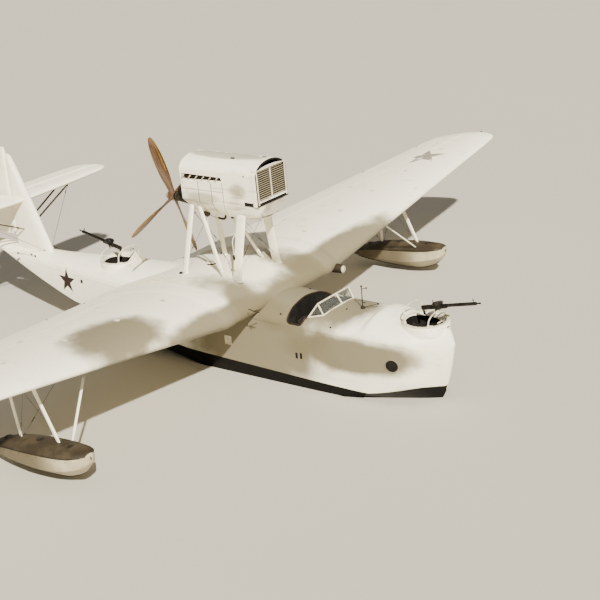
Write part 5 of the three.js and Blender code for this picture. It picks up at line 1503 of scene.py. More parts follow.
# Bolted steel plates on the hub's two faces, and the spinner over the nut
propeller.finish = 2
propeller.turned([(0.1, PLATE / 2 - HUB_HALF), (0.1, -HUB_HALF)], SHAFT, -X_WAY, 40)
propeller.turned([(0.098, HUB_HALF), (0.100, HUB_HALF + PLATE)], SHAFT, -X_WAY, 40)
for a in turns(8):
    propeller.turned([(0.011, 0), (0.011, 0.010), (0.006, 0.013)],
                     SHAFT + spoke(a) * 0.078 - X_WAY * (HUB_HALF + PLATE), -X_WAY, 6)
propeller.turned([(0.085, 0.0), (0.080, 0.035), (0.062, 0.075), (0.036, 0.105), (0.014, 0.118), (0, 0.120)],
                 SHAFT - X_WAY * (HUB_HALF + PLATE / 2), -X_WAY, 32)
make("propeller_blades", propeller, [WOOD, BRASS, GREY_METAL], ["propeller"], 36,
     "propeller")
print("propeller diameter", 2 * BLADE[-1][0], "m")

# %% [markdown]
# Six streamlined struts carry the housing, and thin crossed wires stiffen them sideways. A strut
# keeps one section over most of its length and has a cuff where it enters the wing. Each wire has
# an eye at its ends and a turnbuckle, which is how a rigger draws it tight.

# %% Engine struts and bracing wires
# Columns: foot aft, foot out, top aft, top out, chord, thickness
PYLON = {"front": (5.030, 0.660, 4.950, 0.345, 0.230, 0.070),
         "rear": (6.430, 0.650, 6.275, 0.330, 0.130, 0.056),
         "diagonal": (5.330, 0.655, 6.110, 0.335, 0.096, 0.050)}
FOOT_UP, TOP_UP, WIRE_FOOT_UP, WIRE_TOP_UP = 2.38, 3.90, 2.62, 3.66
# Columns: share of the length beyond the wing's skin, chord, thickness
CUFF = [(-0.004, 1.34, 1.9), (0.006, 1.20, 1.5), (0.022, 1.09, 1.22), (0.045, 1.02, 1.06), (0.05, 0.9, 0.9)]

for name, (foot_aft, foot_out, top_aft, top_out, chord, thick) in PYLON.items():
    foot, top = at(foot_aft, foot_out, FOOT_UP), at(top_aft, top_out, TOP_UP)
    start = (wing_up(foot_aft, foot_out) - FOOT_UP) / (TOP_UP - FOOT_UP)
    strut = Bench()
    strut.foil(foot, top, [(0.0, 1.0, 1.0), (0.5, 1.0, 1.0), (0.86, 1.0, 1.0), (1.0, 0.92, 1.0)],
               26, chord, thick)
    strut.foil(foot, top, [(start + t, c, w) for t, c, w in CUFF], 26, chord, thick)
    strut.finish = 1
    for k in range(3):
        strut.turned([(0.008, -thick * 0.75), (0.008, thick * 0.75)],
                     foot.lerp(top, start + 0.018 + 0.006 * k) + X_WAY * 0.02 * (k - 1), Y_WAY, 8)
    make_pair("pylon_" + name + "_{}", strut, [STRUT, GREY_METAL], 40)


def wire(bench, start, end, radius, buckle):
    """Taut wire with an eye at each end and a turnbuckle at a share of its length."""
    step = (end - start).normalized() * 0.05
    bench.tube([start, end], radius, 6)
    for eye in ([start, start + step], [end, end - step]):
        bench.tube(eye, radius * 2.1, 8)
    spot = start.lerp(end, buckle)
    bench.tube([spot + step * share for share in (-1.2, -1, 1, 1.2)],
               [radius, radius * 2.6, radius * 2.6, radius], 8)


wires = Bench()
for turn in (-1, 1):
    for foot_aft, foot_out, top_aft, top_out, _, _ in (PYLON["front"], PYLON["rear"]):
        wire(wires, at(foot_aft, turn * (foot_out - 0.03), WIRE_FOOT_UP),
             at(top_aft, -turn * (top_out - 0.02), WIRE_TOP_UP), 0.004, 0.3)
    wire(wires, at(5.05, turn * 0.64, 2.66), at(6.22, turn * 0.345, 3.70), 0.0035, 0.25)
make("engine_bracing", wires, [WIRE])
print("engine struts:", 2 * len(PYLON))

# %% [markdown]
# Fuel, water and control pipes run down from the housing to the wing, one with a small filter. The
# filler hatch is a raised cap on a dark collar, on the centreline behind the struts; the collar's
# dark is painted shade under the cap's rim.

# %% Pipes and hatch
pipes = Bench()
pipes.pipe([(6.02, -0.20, 3.60), (6.03, -0.205, 3.40), (5.96, -0.22, 2.95), (5.90, -0.235, 2.62),
            (5.88, -0.24, 2.50)], 0.014, 10)
pipes.pipe([(5.36, -0.18, 3.61), (5.30, -0.20, 3.52), (5.12, -0.30, 3.40), (5.09, -0.56, 3.30),
            (5.07, -0.60, 2.95), (5.08, -0.64, 2.62)], 0.009, 8)
pipes.pipe([(5.60, -0.12, 3.65), (5.58, -0.12, 3.55), (5.70, -0.10, 3.50), (5.9, -0.14, 3.56),
            (5.99, -0.19, 3.61)], 0.012, 8)
hatch = at(6.22, 0, wing_up(6.22, 0))
pipes.finish = 1
pipes.turned([(0.022, -0.03), (0.026, 0.0), (0.022, 0.06)], at(5.06, -0.615, 2.93), sides=12)
# Dark collar under the cap: painted shade beneath its rim
pipes.turned([(0.116, 0.036), (0.120, -0.014)], hatch, (-0.06, 0, 1), 36)
for turn in (-1, 1):
    pipes.box(at(6.52, turn * 0.66, wing_up(6.52, 0.66) + 0.012), (0.07, 0.05, 0.05))
pipes.finish = 2
pipes.turned([(0, 0.054), (0.105, 0.052), (0.128, 0.042), (0.126, 0.034)], hatch, (-0.06, 0, 1), 36)
make("pipes_and_hatch", pipes, [PALE_METAL, DARK, WING])
print("pipes and hatch:", len(pipes.faces), "faces")

# %% [markdown]
# A fixed float under each wing keeps the tip out of the water. It is a small hull of its own, with
# a keel, a chine and a domed deck, so the same kind of table draws it. The side and the deck are
# one skin, and the deck's faces are given the darker paint by their height.

# %% Floats
FLOAT_OUT, FLOAT_NOSE, FLOAT_STERN = 5.83, 4.20, 6.83
# Columns: aft, keel up, chine out, chine up, deck edge out, deck edge up, crown up
FLOAT_ROWS = [
    (FLOAT_NOSE, 1.010, 0.090, 1.030, 0.095, 1.180, 1.215), (4.29, 0.880, 0.190, 0.985, 0.200, 1.180, 1.240),
    (4.50, 0.740, 0.265, 0.925, 0.275, 1.150, 1.262), (4.90, 0.620, 0.300, 0.850, 0.310, 1.110, 1.260),
    (5.40, 0.590, 0.300, 0.800, 0.310, 1.070, 1.220), (6.00, 0.615, 0.255, 0.790, 0.265, 1.010, 1.140),
    (6.50, 0.660, 0.160, 0.770, 0.170, 0.910, 1.000), (FLOAT_STERN, 0.720, 0.050, 0.760, 0.055, 0.800, 0.830),
]


def float_ring(aft, scale=1.0):
    keel, chine_out, chine_up, edge_out, edge_up, crown = curve_through(FLOAT_ROWS, aft)
    half = [(chine_out * t, keel + (chine_up - keel) * t - 0.010 * math.sin(math.pi * t))
            for t in spread(0, 0.84, 6)]
    half += [(chine_out + (edge_out - chine_out) * t + 0.006 * math.sin(math.pi * t),
              chine_up + (edge_up - chine_up) * t) for t in spread(0, 0.8, 5)]
    half += [(edge_out * math.cos(a), edge_up + (crown - edge_up) * math.sin(a))
             for a in spread(0, math.pi / 2, 10)]
    middle = (keel + crown) / 2
    return full_ring(aft, [(y * scale, middle + (z - middle) * scale) for y, z in half], FLOAT_OUT)


def float_top(aft, out):
    _, _, _, edge_out, edge_up, crown = curve_through(FLOAT_ROWS, aft)
    return edge_up + (crown - edge_up) * math.sqrt(max(0.0, 1 - ((out - FLOAT_OUT) / edge_out) ** 2))


def on_float_deck(centre, _):
    aft = min(max(STEP_AFT - centre.x, FLOAT_NOSE), FLOAT_STERN)
    return centre.z + DRAFT > curve_through(FLOAT_ROWS, aft)[4] - 0.002 and centre.x < STEP_AFT - FLOAT_NOSE


float_bench = Bench()
float_bench.skin([[p + X_WAY * ahead for p in float_ring(FLOAT_NOSE, scale)]
                  for ahead, scale in ((0.02, 0.5), (0.012, 0.84))]
                 + [float_ring(aft) for aft in spread(FLOAT_NOSE, FLOAT_STERN, 54)])
# Rubbing strips, keel band, hand-hole covers, screws and a towing eye
float_bench.finish = 2
for turn in (-1, 1):
    edge = [(aft, curve_through(FLOAT_ROWS, aft)) for aft in spread(4.26, 6.74, 34)]
    float_bench.tube([at(aft, FLOAT_OUT + turn * row[3], row[4]) for aft, row in edge], 0.009, 8)
    for aft in spread(4.52, 6.44, 9):
        row = curve_through(FLOAT_ROWS, aft)
        float_bench.dome(at(aft, FLOAT_OUT + turn * (row[3] + 0.004), row[4] - 0.05), Y_WAY * turn, 0.009)
float_bench.skin([[at(aft, FLOAT_OUT + y, curve_through(FLOAT_ROWS, aft)[0] + z) for y, z in (
    (0.014, 0.012), (0.014, -0.010), (-0.014, -0.010), (-0.014, 0.012))] for aft in spread(4.36, 6.70, 30)])
for aft in (4.66, 5.42, 6.30):
    float_bench.turned([(0.075, -0.01), (0.075, 0.006), (0.066, 0.010), (0.02, 0.011), (0, 0.018)],
                       at(aft, FLOAT_OUT, float_top(aft, FLOAT_OUT)), sides=26)
float_bench.eye(at(4.185, FLOAT_OUT, 1.13), Y_WAY, 0.018, 0.030, 0.006, 18)
for piece in make_pair("float_{}", float_bench, [FLOAT_SIDE, FLOAT_DECK, DARK], 34):
    print(piece.name, "deck faces:", refinish(piece, 1, on_float_deck))

# %% [markdown]
# Two streamlined struts stand on each float's deck, and a brace leans from the inner edge of the
# deck to the wing. Every end has a fork and a pin, because the struts can be taken off to move the
# boat by road, and thin wires cross between them.

# %% Float struts
# Columns: foot (aft, out, up), top (aft, out), chord, thickness, swelling near the top
FLOAT_STRUTS = {"front": ((4.90, 5.825, 1.15), (5.50, 5.83), 0.095, 0.048, 1.14),
                "rear": ((5.95, 5.815, 1.03), (6.04, 5.89), 0.080, 0.042, 1.0),
                "brace": ((4.83, 5.65, 1.15), (5.34, 4.56), 0.060, 0.032, 1.0)}

for name, (foot_at, top_at, chord, thick, swell) in FLOAT_STRUTS.items():
    foot, top = at(*foot_at), at(*top_at, wing_up(*top_at, -1) + 0.004)
    strut = Bench()
    strut.foil(foot, top, [(0.0, 0.62, 0.8), (0.07, 0.7, 0.85), (0.15, 1.0, 1.0), (0.66, 1.0, 1.0),
                           (0.80, swell, swell), (0.88, 1.0, 1.0), (0.95, 0.7, 0.85), (1.0, 0.62, 0.8)],
               20, chord, thick)
    strut.finish = 1
    for place, inward in ((foot, (top - foot).normalized()), (top, (foot - top).normalized())):
        strut.box(place + inward * 0.035, (chord * 0.62, 0.008, 0.070))
        strut.box(place + inward * 0.018, (chord * 1.2, thick * 1.5, 0.010))
        strut.turned([(0.011, -0.026), (0.011, 0.026)], place + inward * 0.045, Y_WAY, 8)
    make_pair("float_strut_" + name + "_{}", strut, [STRUT, DARK], 40)

float_wires = Bench()
# Columns: foot (aft, out) on the float, top (aft, out) on the wing, radius
for foot_at, top_at, radius in (((5.95, 5.76), (5.66, 4.66), 0.004), ((4.92, 5.78), (6.02, 5.84), 0.0035),
                                ((5.93, 5.86), (5.52, 5.86), 0.0035)):
    wire(float_wires, at(*foot_at, float_top(*foot_at)), at(*top_at, wing_up(*top_at, -1)), radius, 0.2)
float_wires.box(at(5.62, 5.60, wing_up(5.62, 5.60, -1) - 0.03), (0.16, 0.02, 0.06))
make("float_wires", float_wires.mirrored(), [WIRE])
print("float struts:", 2 * len(FLOAT_STRUTS))

# %% [markdown]
# Each gun stands on a turning ring, so a ring with its two hoops is one moving piece and the gun,
# which also tips in the ring's forked saddle, is another. Both are written once in the ring's own
# measures (ahead, out, up); the rear one is the same work turned half way round. The hoops are
# bent tube: one carries the saddle, the other is a back rest.

# %% Ring mount
HOOP_HALF, HOOP_BAR, RING_MIDDLE, PIVOT = 0.318, 0.013, 0.424, Vector((0.26, 0, 0.29))


def hoop_path(ahead, height, lean, steps=9):
    """Centre line of a hoop: a straight foot and a quarter curve, mirrored."""
    knee, shoulder, top = (-HOOP_HALF, height * 0.45), (-HOOP_HALF * 0.9, height), (0.0, height)
    half = [(-HOOP_HALF, 0.0), (-HOOP_HALF, height * 0.25)]
    half += [tuple((1 - t) ** 2 * knee[i] + 2 * t * (1 - t) * shoulder[i] + t * t * top[i] for i in (0, 1))
             for t in spread(0, 1, steps)]
    whole = half + [(-y, z) for y, z in half[-2::-1]]
    return [Vector((ahead + lean * z / height, y, 0.012 + z)) for y, z in whole]


def ring_work():
    ring = Bench()
    ring.turned([(0.395, 0.003), (0.398, 0.0), (0.447, 0.0), (0.450, 0.004), (0.449, 0.020), (0.442, 0.026),
                 (0.402, 0.026), (0.395, 0.021)], (0, 0, 0), sides=80, closed=True)
    for a in turns(4, math.pi / 4):
        out, along = deck_spoke(a), deck_spoke(a + math.pi / 2)
        ring.box(out * RING_MIDDLE + Z_WAY * 0.031, (0.05, 0.075, 0.014), (out, along, Z_WAY))
        for s in (-0.024, 0.024):
            ring.dome(out * RING_MIDDLE + along * s + Z_WAY * 0.038, Z_WAY, 0.007)
    for ahead, height, lean in ((0.25, 0.22, 0.03), (-0.25, 0.30, -0.04)):
        ring.tube(hoop_path(ahead, height, lean), HOOP_BAR, 12)
        for turn in (-1, 1):
            ring.turned([(0.026, 0), (0.026, 0.012), (0.017, 0.022), (0.0145, 0.040)],
                        (ahead, turn * HOOP_HALF, 0.022), sides=14)
    ring.finish = 1
    for turn in (-1, 1):
        ring.plate([(x, turn * 0.039, z) for x, z in (
            (0.240, 0.214), (0.290, 0.214), (0.288, 0.285), (0.278, 0.306), (0.252, 0.306), (0.242, 0.285))],
            Y_WAY * 0.009)
        ring.turned([(0.018, 0.0435), (0.018, 0.049), (0, 0.052)], PIVOT, Y_WAY * turn, 14)
    # Brake lever with its grip on the starboard side
    ring.tube([(x, -RING_MIDDLE, z) for x, z in ((0.10, 0.036), (0.10, 0.07), (0.02, 0.085))], 0.007, 8)
    ring.turned([(0, -0.016), (0.013, -0.012), (0.015, 0.0), (0.013, 0.012), (0, 0.016)],
                (0.01, -RING_MIDDLE, 0.086), X_WAY, 12)
    return ring


print("ring", 2 * RING_MIDDLE, "m across")

# %% [markdown]
# The gun is drawn level along X from the pin that it tips on, then lifted to its rest aim. Its
# cooling jacket looks pierced, though the holes are only dark discs laid on the tube.

# %% Gun
GUN_RISE, BARREL_UP = math.radians(12), 0.03
BODY_MIDDLE = 0.021
BODY = [(-0.024, -0.016), (-0.020, -0.020), (0.020, -0.020), (0.024, -0.016), (0.024, 0.048), (0.016, 0.062),
        (-0.016, 0.062), (-0.024, 0.048)]


def gun_work():
    gun = Bench()
    for start, end, grow in ((-0.33, -0.318, 0.86), (-0.318, 0.215, 1.0), (0.215, 0.23, 0.9)):
        gun.skin([[Vector((x, y * grow, BODY_MIDDLE + (z - BODY_MIDDLE) * grow)) for y, z in BODY]
                  for x in (start, end)])
    for x in (-0.20, -0.10, 0.12):
        gun.box((x, 0, BODY_MIDDLE), (0.006, 0.052, 0.070))
    gun.turned([(0.019, 0.22), (0.033, 0.228), (0.033, 0.868), (0.019, 0.88)], (0, 0, BARREL_UP), X_WAY, 18,
               closed=True)
    gun.finish = 1
    for x in spread(0.27, 0.83, 11):
        for a in turns(6, math.pi / 6):
            gun.turned([(0.0075, 0.0), (0.0075, 0.0008)], Vector((x, 0, BARREL_UP)) + spoke(a) * 0.0328,
                       spoke(a), 8)
    gun.finish = 0
    gun.turned([(0.009, 0.86), (0.013, 0.87), (0.0135, 0.915), (0.019, 0.958), (0.016, 0.960), (0.008, 0.93)],
               (0, 0, BARREL_UP), X_WAY, 16, closed=True)
    # Drum magazine, grip and trigger guard
    gun.turned([(0.098, 0.061), (0.105, 0.068), (0.105, 0.098), (0.098, 0.104), (0.045, 0.1035),
                (0.040, 0.110), (0.012, 0.111)], (0.04, 0, 0), sides=36)
    gun.box((0.04, 0, 0.108), (0.14, 0.018, 0.006))
    gun.skin([[(x + lean, y, z) for x, y in (
        (-0.318, -0.014), (-0.287, -0.014), (-0.285, 0), (-0.287, 0.014), (-0.318, 0.014), (-0.320, 0))]
              for z, lean in ((-0.012, 0.0), (-0.05, 0.002), (-0.09, -0.002), (-0.119, 0.001))])
    gun.tube([(-0.285, 0, -0.016), (-0.245, 0, -0.022), (-0.225, 0, -0.042), (-0.245, 0, -0.064),
              (-0.286, 0, -0.068)], 0.004, 6)
    # Sights: a blade in a ring over the muzzle, a post in a ring over the body
    gun.box((0.82, 0, 0.078), (0.012, 0.006, 0.062))
    gun.box((-0.052, 0, 0.082), (0.022, 0.018, 0.052))
    gun.box((-0.052, 0, 0.126), (0.010, 0.008, 0.044))
    gun.eye((0.82, 0, 0.105), X_WAY, 0.014, 0.019, 0.003, 18)
    gun.eye((-0.052, 0, 0.138), X_WAY, 0.012, 0.016, 0.002, 16)
    gun.turned([(0.012, -0.034), (0.012, 0.034)], (0, 0, 0), Y_WAY, 14)
    return gun.placed(Matrix.Rotation(-GUN_RISE, 3, "Y"))


for name, (aft, up, _), turn in (("nose", NOSE_PIT, 0.0), ("rear", REAR_PIT, math.pi)):
    ring_place = Matrix.Translation(at(aft, 0, up + 0.0005)) @ Matrix.Rotation(turn, 4, "Z")
    for part, work, place, finishes, slot in (
            ("ring", ring_work(), ring_place, [PALE_METAL, DARK], "ring_metal"),
            ("gun", gun_work(), ring_place @ Matrix.Translation(PIVOT), [GUN, BLACK_AND_SHADE], "gun_steel")):
        node = name + "_" + part
        make(node + "_dressed", work.placed(place), finishes, [node], 36, node)
print("ring mounts at", NOSE_PIT[0], "and", REAR_PIT[0], "m aft")

# %% [markdown]
# A folding hood of two flat panels keeps the propeller's stream off the rear pit. It is
# drawn straight from the corner points of one panel, with a bead along three edges, two rows of
# rivets and a strip over the middle seam.

# %% Hood
HOOD = [(8.25, 0.0, 2.16), (8.465, 0.0, 2.44), (8.60, 0.39, 2.085), (8.24, 0.35, 2.085)]
hood = Bench()
for turn in (-1, 1):
    sheet = [at(aft, turn * out, up) for aft, out, up in HOOD]
    hood.skin([sheet, [p - Z_WAY * 0.0085 for p in sheet]])
    for a, b in ((1, 2), (3, 0), (0, 1)):
        hood.tube([sheet[a] - Z_WAY * 0.004, sheet[b] - Z_WAY * 0.004], 0.007, 8)
    slope = (sheet[1] - sheet[2]).cross(sheet[3] - sheet[2]).normalized()
    slope = slope if slope.z > 0 else -slope
    for t in spread(0.08, 0.92, 12):
        for a, b, c in ((1, 2, 3), (0, 3, 2)):
            edge_point = sheet[a].lerp(sheet[b], t)
            hood.dome(edge_point + (sheet[c] - edge_point).normalized() * 0.03, slope, 0.005, 6)
    low, high = sheet[3].lerp(sheet[2], 0.5), sheet[0].lerp(sheet[1], 0.5)
    seam = low - high
    hood.box((low + high) / 2 + slope * 0.0015, (0.016, seam.length * 0.96, 0.003),
             (seam.cross(slope).normalized(), seam.normalized(), slope))
make("wind_hood_panels", hood, [PALE_METAL], ["wind_hood"], 20)
print("hood:", len(hood.faces), "faces")

# %% [markdown]
# The cockpit has a low windscreen of flat panes in a welded frame of pale tube. Five corner
# points on one side give every bar and every pane, and the other side is their mirror.

# %% Windscreen
# Columns: aft, out, up
FOOT, CROWN = (2.94, 0.0, 2.07), (3.07, 0.0, 2.255)
CORNER_FOOT, CORNER_TOP, REAR_FOOT = (3.03, 0.51, 1.99), (3.14, 0.513, 2.21), (3.315, 0.625, 1.945)
SCREEN_EDGES = [(FOOT, CORNER_FOOT), (CROWN, CORNER_TOP), (CORNER_FOOT, CORNER_TOP),
                (CORNER_FOOT, REAR_FOOT), (CORNER_TOP, REAR_FOOT), (FOOT, CROWN)]
# Columns: corners, distance behind the frame, distance inside it, thickness aft, thickness inward
PANES = [([FOOT, CROWN, CORNER_TOP, CORNER_FOOT], 0.022, 0.0, 0.006, 0.0),
         ([CORNER_FOOT, CORNER_TOP, REAR_FOOT], 0.020, 0.020, 0.0, 0.006)]
BAR = 0.0150


def screen_point(corner, turn, back=0.0, inward=0.0):
    aft, out, up = corner
    return at(aft + back, turn * max(out - inward, 0.0), up)


screen, panes = Bench(), Bench()
for turn in (-1, 1):
    for ends in SCREEN_EDGES:
        p, q = (screen_point(end, turn) for end in ends)
        side, over = across(q - p)
        corners = [side * x * BAR + over * y * BAR for x, y in (
            (-1, -0.5), (-0.5, -1), (0.5, -1), (1, -0.5), (1, 0.5), (0.5, 1), (-0.5, 1), (-1, 0.5))]
        screen.skin([[end + corner for corner in corners] for end in (p, q)])
        for end in (p, q):
            screen.turned([(0, -0.0152), (0.011, -0.013), (0.0158, -0.006), (0.0158, 0.006), (0.011, 0.013),
                           (0, 0.0152)], end, sides=12)
        for t in spread(0.12, 0.88, 5):
            screen.dome(p.lerp(q, t) + Vector((0.0125, 0, 0.008)), (0.8, 0, 0.6), 0.0042, 6)
    for corners, back, inward, thick_aft, thick_in in PANES:
        panes.skin([[screen_point(c, turn, back + t * thick_aft, inward + t * thick_in) for c in corners]
                    for t in (0, 1)])
make("windscreen_frame_bars", screen, [PALE_METAL], ["windscreen_frame"], 36)
make("windscreen_panes", panes, [GLASS], ["windscreen_glass"], 20)
print("windscreen", 2 * REAR_FOOT[1], "m wide")

# %% [markdown]
# The seats are wooden boxes with sewn leather cushions. A cushion is a crowned pad: thick in the
# middle, pinched towards its four corners, with two sewn channels and a piped edge. It is drawn by
# formula, which keeps its size exact.

# %% Seats
SEAT_OUT, SEAT_HALF, SEAT_UP, PAD_CELLS = 0.318, 0.19, 1.28, 22


def cushion(centre, across_way, along_way, half_wide, half_long, thick):
    """Crowned pad on a bed; its top lies on the side of the cross product of the two ways."""
    up_way = across_way.cross(along_way)

    def spot(i, j, top):
        u, v = 2 * i / PAD_CELLS - 1, 2 * j / PAD_CELLS - 1
        pull = 1 - 0.05 * (1 - u * u) * abs(v) - 0.05 * (1 - v * v) * abs(u) + 0.03 * abs(u * v)
        crown = ((1 - u ** 6) * (1 - v ** 6)) ** 0.5 * (1 - 0.25 * (u * u + v * v) / 2)
        seam = sum(math.exp(-((u - c) / 0.05) ** 2) for c in (-0.34, 0.34))
        rise = 0.70 * crown * (1 - 0.30 * seam * (1 - v ** 8)) if top else -0.30 * crown ** 0.3
        return (centre + across_way * u * half_wide * pull + along_way * v * half_long * pull
                + up_way * thick * (0.30 + rise))

    pad, cells = Bench(), range(PAD_CELLS)
    for top in (True, False):
        pad.skin([[spot(i, j, top) for i in range(PAD_CELLS + 1)] for j in range(PAD_CELLS + 1)],
                 around=False)
    rim = [(i, 0) for i in cells] + [(PAD_CELLS, j) for j in cells]
    rim += [(PAD_CELLS - i, PAD_CELLS - j) for i, j in rim]
    pad.tube([spot(i, j, True) for i, j in rim[::2]], 0.006, 8, closed=True)
    return pad


for side, turn in (("left", 1), ("right", -1)):
    out = turn * SEAT_OUT
    seat = Bench()
    seat.box(at(3.52, out, (WELL_FLOOR + 1.283) / 2), (0.235, 0.255, 1.281 - WELL_FLOOR))
    seat.box(at(3.495, out, 1.29), (0.345, 2 * SEAT_HALF - 0.004, 0.018))
    seat.plate([at(3.684, out + y, SEAT_UP + z) for y, z in (
        (-0.188, 0), (0.188, 0), (0.188, 0.42), (0.15, 0.485), (0.07, 0.508), (-0.07, 0.508), (-0.15, 0.485),
        (-0.188, 0.42))], X_WAY * 0.012)
    make("seat_" + side + "_frame", seat, [PANEL], ["seat_" + side], 30)
    for part, pad in (("cushion", cushion(at(3.492, out, 1.299), Y_WAY, -X_WAY, 0.178, 0.158, 0.052)),
                      ("back", cushion(at(3.678, out, 1.545), -Y_WAY, Z_WAY, 0.172, 0.215, 0.044))):
        piece = make("seat_" + side + "_" + part, pad, [LEATHER], crease=60)
print("seats", 2 * SEAT_OUT, "m apart")

# %% [markdown]
# Such boats are flown with a column that carries a wheel. The wheel is drawn flat about the
# origin, a thin turned ring with four spokes, and one matrix then tilts it and sets it in place.

# %% Control column
WHEEL_RADIUS, WHEEL_GRIP = 0.129, 0.0105
column, wheel = Bench(), Bench(1)
low, high = at(3.205, SEAT_OUT, WELL_FLOOR + 0.0004), at(3.245, SEAT_OUT, 1.61)
column.tube([low, low.lerp(high, 0.05), low.lerp(high, 0.06), high], [0.034, 0.034, 0.024, 0.020], 16)
wheel.turned([(WHEEL_RADIUS + WHEEL_GRIP * math.cos(a), WHEEL_GRIP * math.sin(a)) for a in turns(12)],
             (0, 0, 0), sides=48, closed=True)
for a in turns(4, math.pi / 4):
    wheel.tube([(0, 0, 0), deck_spoke(a) * 0.122], [0.010, 0.007], 8)
wheel.turned([(0.030, -0.016), (0.034, 0.0), (0.028, 0.018), (0, 0.020)], (0, 0, 0), sides=20)
wheel.placed(Matrix.Translation(at(3.262, SEAT_OUT, 1.61)) @ Matrix.Rotation(math.radians(68), 4, "Y"))
column.finish = 1
column.add(wheel.points, wheel.faces)
make("control_column_dressed", column, [GREY_METAL, WOOD], ["control_column"], 40)
print("wheel", 2 * WHEEL_RADIUS, "m across")

# %% [markdown]
# The board ahead of the seats carries ten round dials with plain faces: a rim, a dark disc,
# twelve marks and one hand each. A row of small knobs runs below them.

# %% Instrument board
BOARD_FACE = WELL_FRONT + 0.0155
# Columns: out, up, radius
DIALS = [(0.34, 1.88, 0.050), (0.20, 1.88, 0.050), (0.34, 1.76, 0.044), (0.20, 1.76, 0.044),
         (0.06, 1.87, 0.058), (0.07, 1.75, 0.036), (-0.06, 1.75, 0.036), (-0.10, 1.87, 0.050),
         (-0.24, 1.88, 0.044), (-0.36, 1.84, 0.036)]
# Share of a dial's radius, distance proud of the board
DIAL_RIM = [(0.86, 0), (1, 0), (1, 0.006), (0.88, 0.009), (0.86, 0.006)]


def dial_stroke(face_at, a, proud, reach, sizes):
    """Small bar on a dial that points outwards at an angle."""
    board.box(face_at + spoke(a) * reach - X_WAY * proud, sizes, (X_WAY, spoke(a), spoke(a + math.pi / 2)))


board = Bench()
board.box(at(WELL_FRONT + 0.008, 0, 1.8275), (0.015, 0.908, 0.273))
for k, (out, up, radius) in enumerate(DIALS):
    face_at = at(BOARD_FACE, out, up)
    board.finish = 1
    board.turned([(radius * share, proud) for share, proud in DIAL_RIM], face_at, -X_WAY, 30, closed=True)
    board.finish = 2
    board.turned([(radius * 0.87, 0.001), (radius * 0.87, 0.003)], face_at, -X_WAY, 26)
    board.finish = 3
    for a in turns(12):
        dial_stroke(face_at, a, 0.0034, radius * 0.72, (0.0008, radius * 0.12, radius * 0.035))
    dial_stroke(face_at, 0.7 + 1.9 * k, 0.0042, radius * 0.28, (0.001, radius * 0.7, radius * 0.05))
board.finish = 1
for out in spread(0.18, -0.17, 6):
    board.turned([(0.007, 0), (0.007, 0.008), (0.003, 0.014)], at(BOARD_FACE, out, 1.712), -X_WAY, 8)
make("instrument_board", board, [PANEL, GREY_METAL, BLACK_AND_SHADE, PALE_METAL], ["instrument_panel"])
print("dials:", len(DIALS))

# %% [markdown]
# A short mast stands on the foredeck ahead of the windscreen, with two arms that end in round knobs.

# %% Foredeck mast
mast = Bench()
mast.turned([(0.044, 0.0), (0.042, 0.075), (0.034, 0.095), (0.013, 0.10), (0.011, 0.30), (0.009, 0.488),
             (0.020, 0.492), (0.023, 0.508), (0.014, 0.524), (0, 0.525)], at(2.45, 0, 1.99), sides=22)
for root, tip, bar, knob in ((at(2.45, 0, 2.44), at(2.375, 0.057, 2.4525), 0.007, 0.019),
                             (at(2.45, 0, 2.06), at(2.21, 0.174, 2.111), 0.0085, 0.023)):
    mast.tube([root, tip], bar, 8)
    mast.turned([(0, -knob), (knob * 0.7, -knob * 0.7), (knob, 0), (knob * 0.7, knob * 0.7), (0, knob)],
                tip, tip - root, 14)
make("sight_mast_dressed", mast, [DARK], ["sight_mast"], 40)
print("mast:", len(mast.faces), "faces")

# %% [markdown]
# Small fittings give the boat its scale: round portholes in the bow, hatches and plates, mooring
# cleats, a towing eye, lifting points, lamps, hinge pins and control cables. They are placed with
# the hull's and the wing's own formulas, so each sits on the surface.

# %% Portholes and hull fittings
PORT_AFT, PORT_UP, PORT_BOLTS = 1.39, 1.30, 0.132
fittings = Bench(2)


def on_side(aft, up, profile, sides=24, closed=False):
    """Turned fittings on both sides of the hull, square to its side."""
    for turn in (-1, 1):
        spot = at(aft, turn * side_out(aft, up), up)
        ahead = at(aft - 0.05, turn * side_out(aft - 0.05, up), up) - spot
        above = at(aft, turn * side_out(aft, up + 0.03), up + 0.03) - spot
        out = ahead.cross(above).normalized()
        fittings.turned(profile, spot, out if out.y * turn > 0 else -out, sides, closed)


# Portholes: rim and bolts in the hull's paint, near-black glass painted with the shade of the hull's inside
on_side(PORT_AFT, PORT_UP, [(0.122, -0.02), (0.142, -0.02), (0.142, 0.008), (0.132, 0.013), (0.122, 0.008)],
        40, True)
for a in turns(10):
    on_side(PORT_AFT + PORT_BOLTS * math.cos(a), PORT_UP + PORT_BOLTS * math.sin(a),
            [(0, 0), (0.006, 0.010), (0, 0.016)], 6)
fittings.finish = 1
on_side(PORT_AFT, PORT_UP, [(0, 0.004), (0.121, 0.003), (0.121, -0.02)], 40)
on_side(9.75, 1.74, [(0.045, 0.003), (0.045, -0.003)], 20)
for turn in (-1, 1):
    for aft, up in ((3.44, 1.18), (3.55, 1.17)):
        fittings.box(at(aft, turn * (side_out(aft, up) + 0.001), up), (0.050, 0.006, 0.12))
    fittings.pipe([(2.02, turn * 0.715, 1.84), (2.08, turn * 0.735, 1.80), (2.18, turn * 0.745, 1.78)],
                  0.016, 8)
    # Mooring cleats on the deck's edge
    for aft, out in ((4.6, 0.70), (7.4, 0.62)):
        spot = at(aft, turn * out, deck_up(aft, out))
        fittings.box(spot + Z_WAY * 0.018, (0.05, 0.024, 0.036))
        fittings.tube([spot + Vector((x, 0, z)) for x, z in (
            (-0.09, 0.046), (-0.05, 0.038), (0.05, 0.038), (0.09, 0.046))], [0.007, 0.011, 0.011, 0.007], 8)
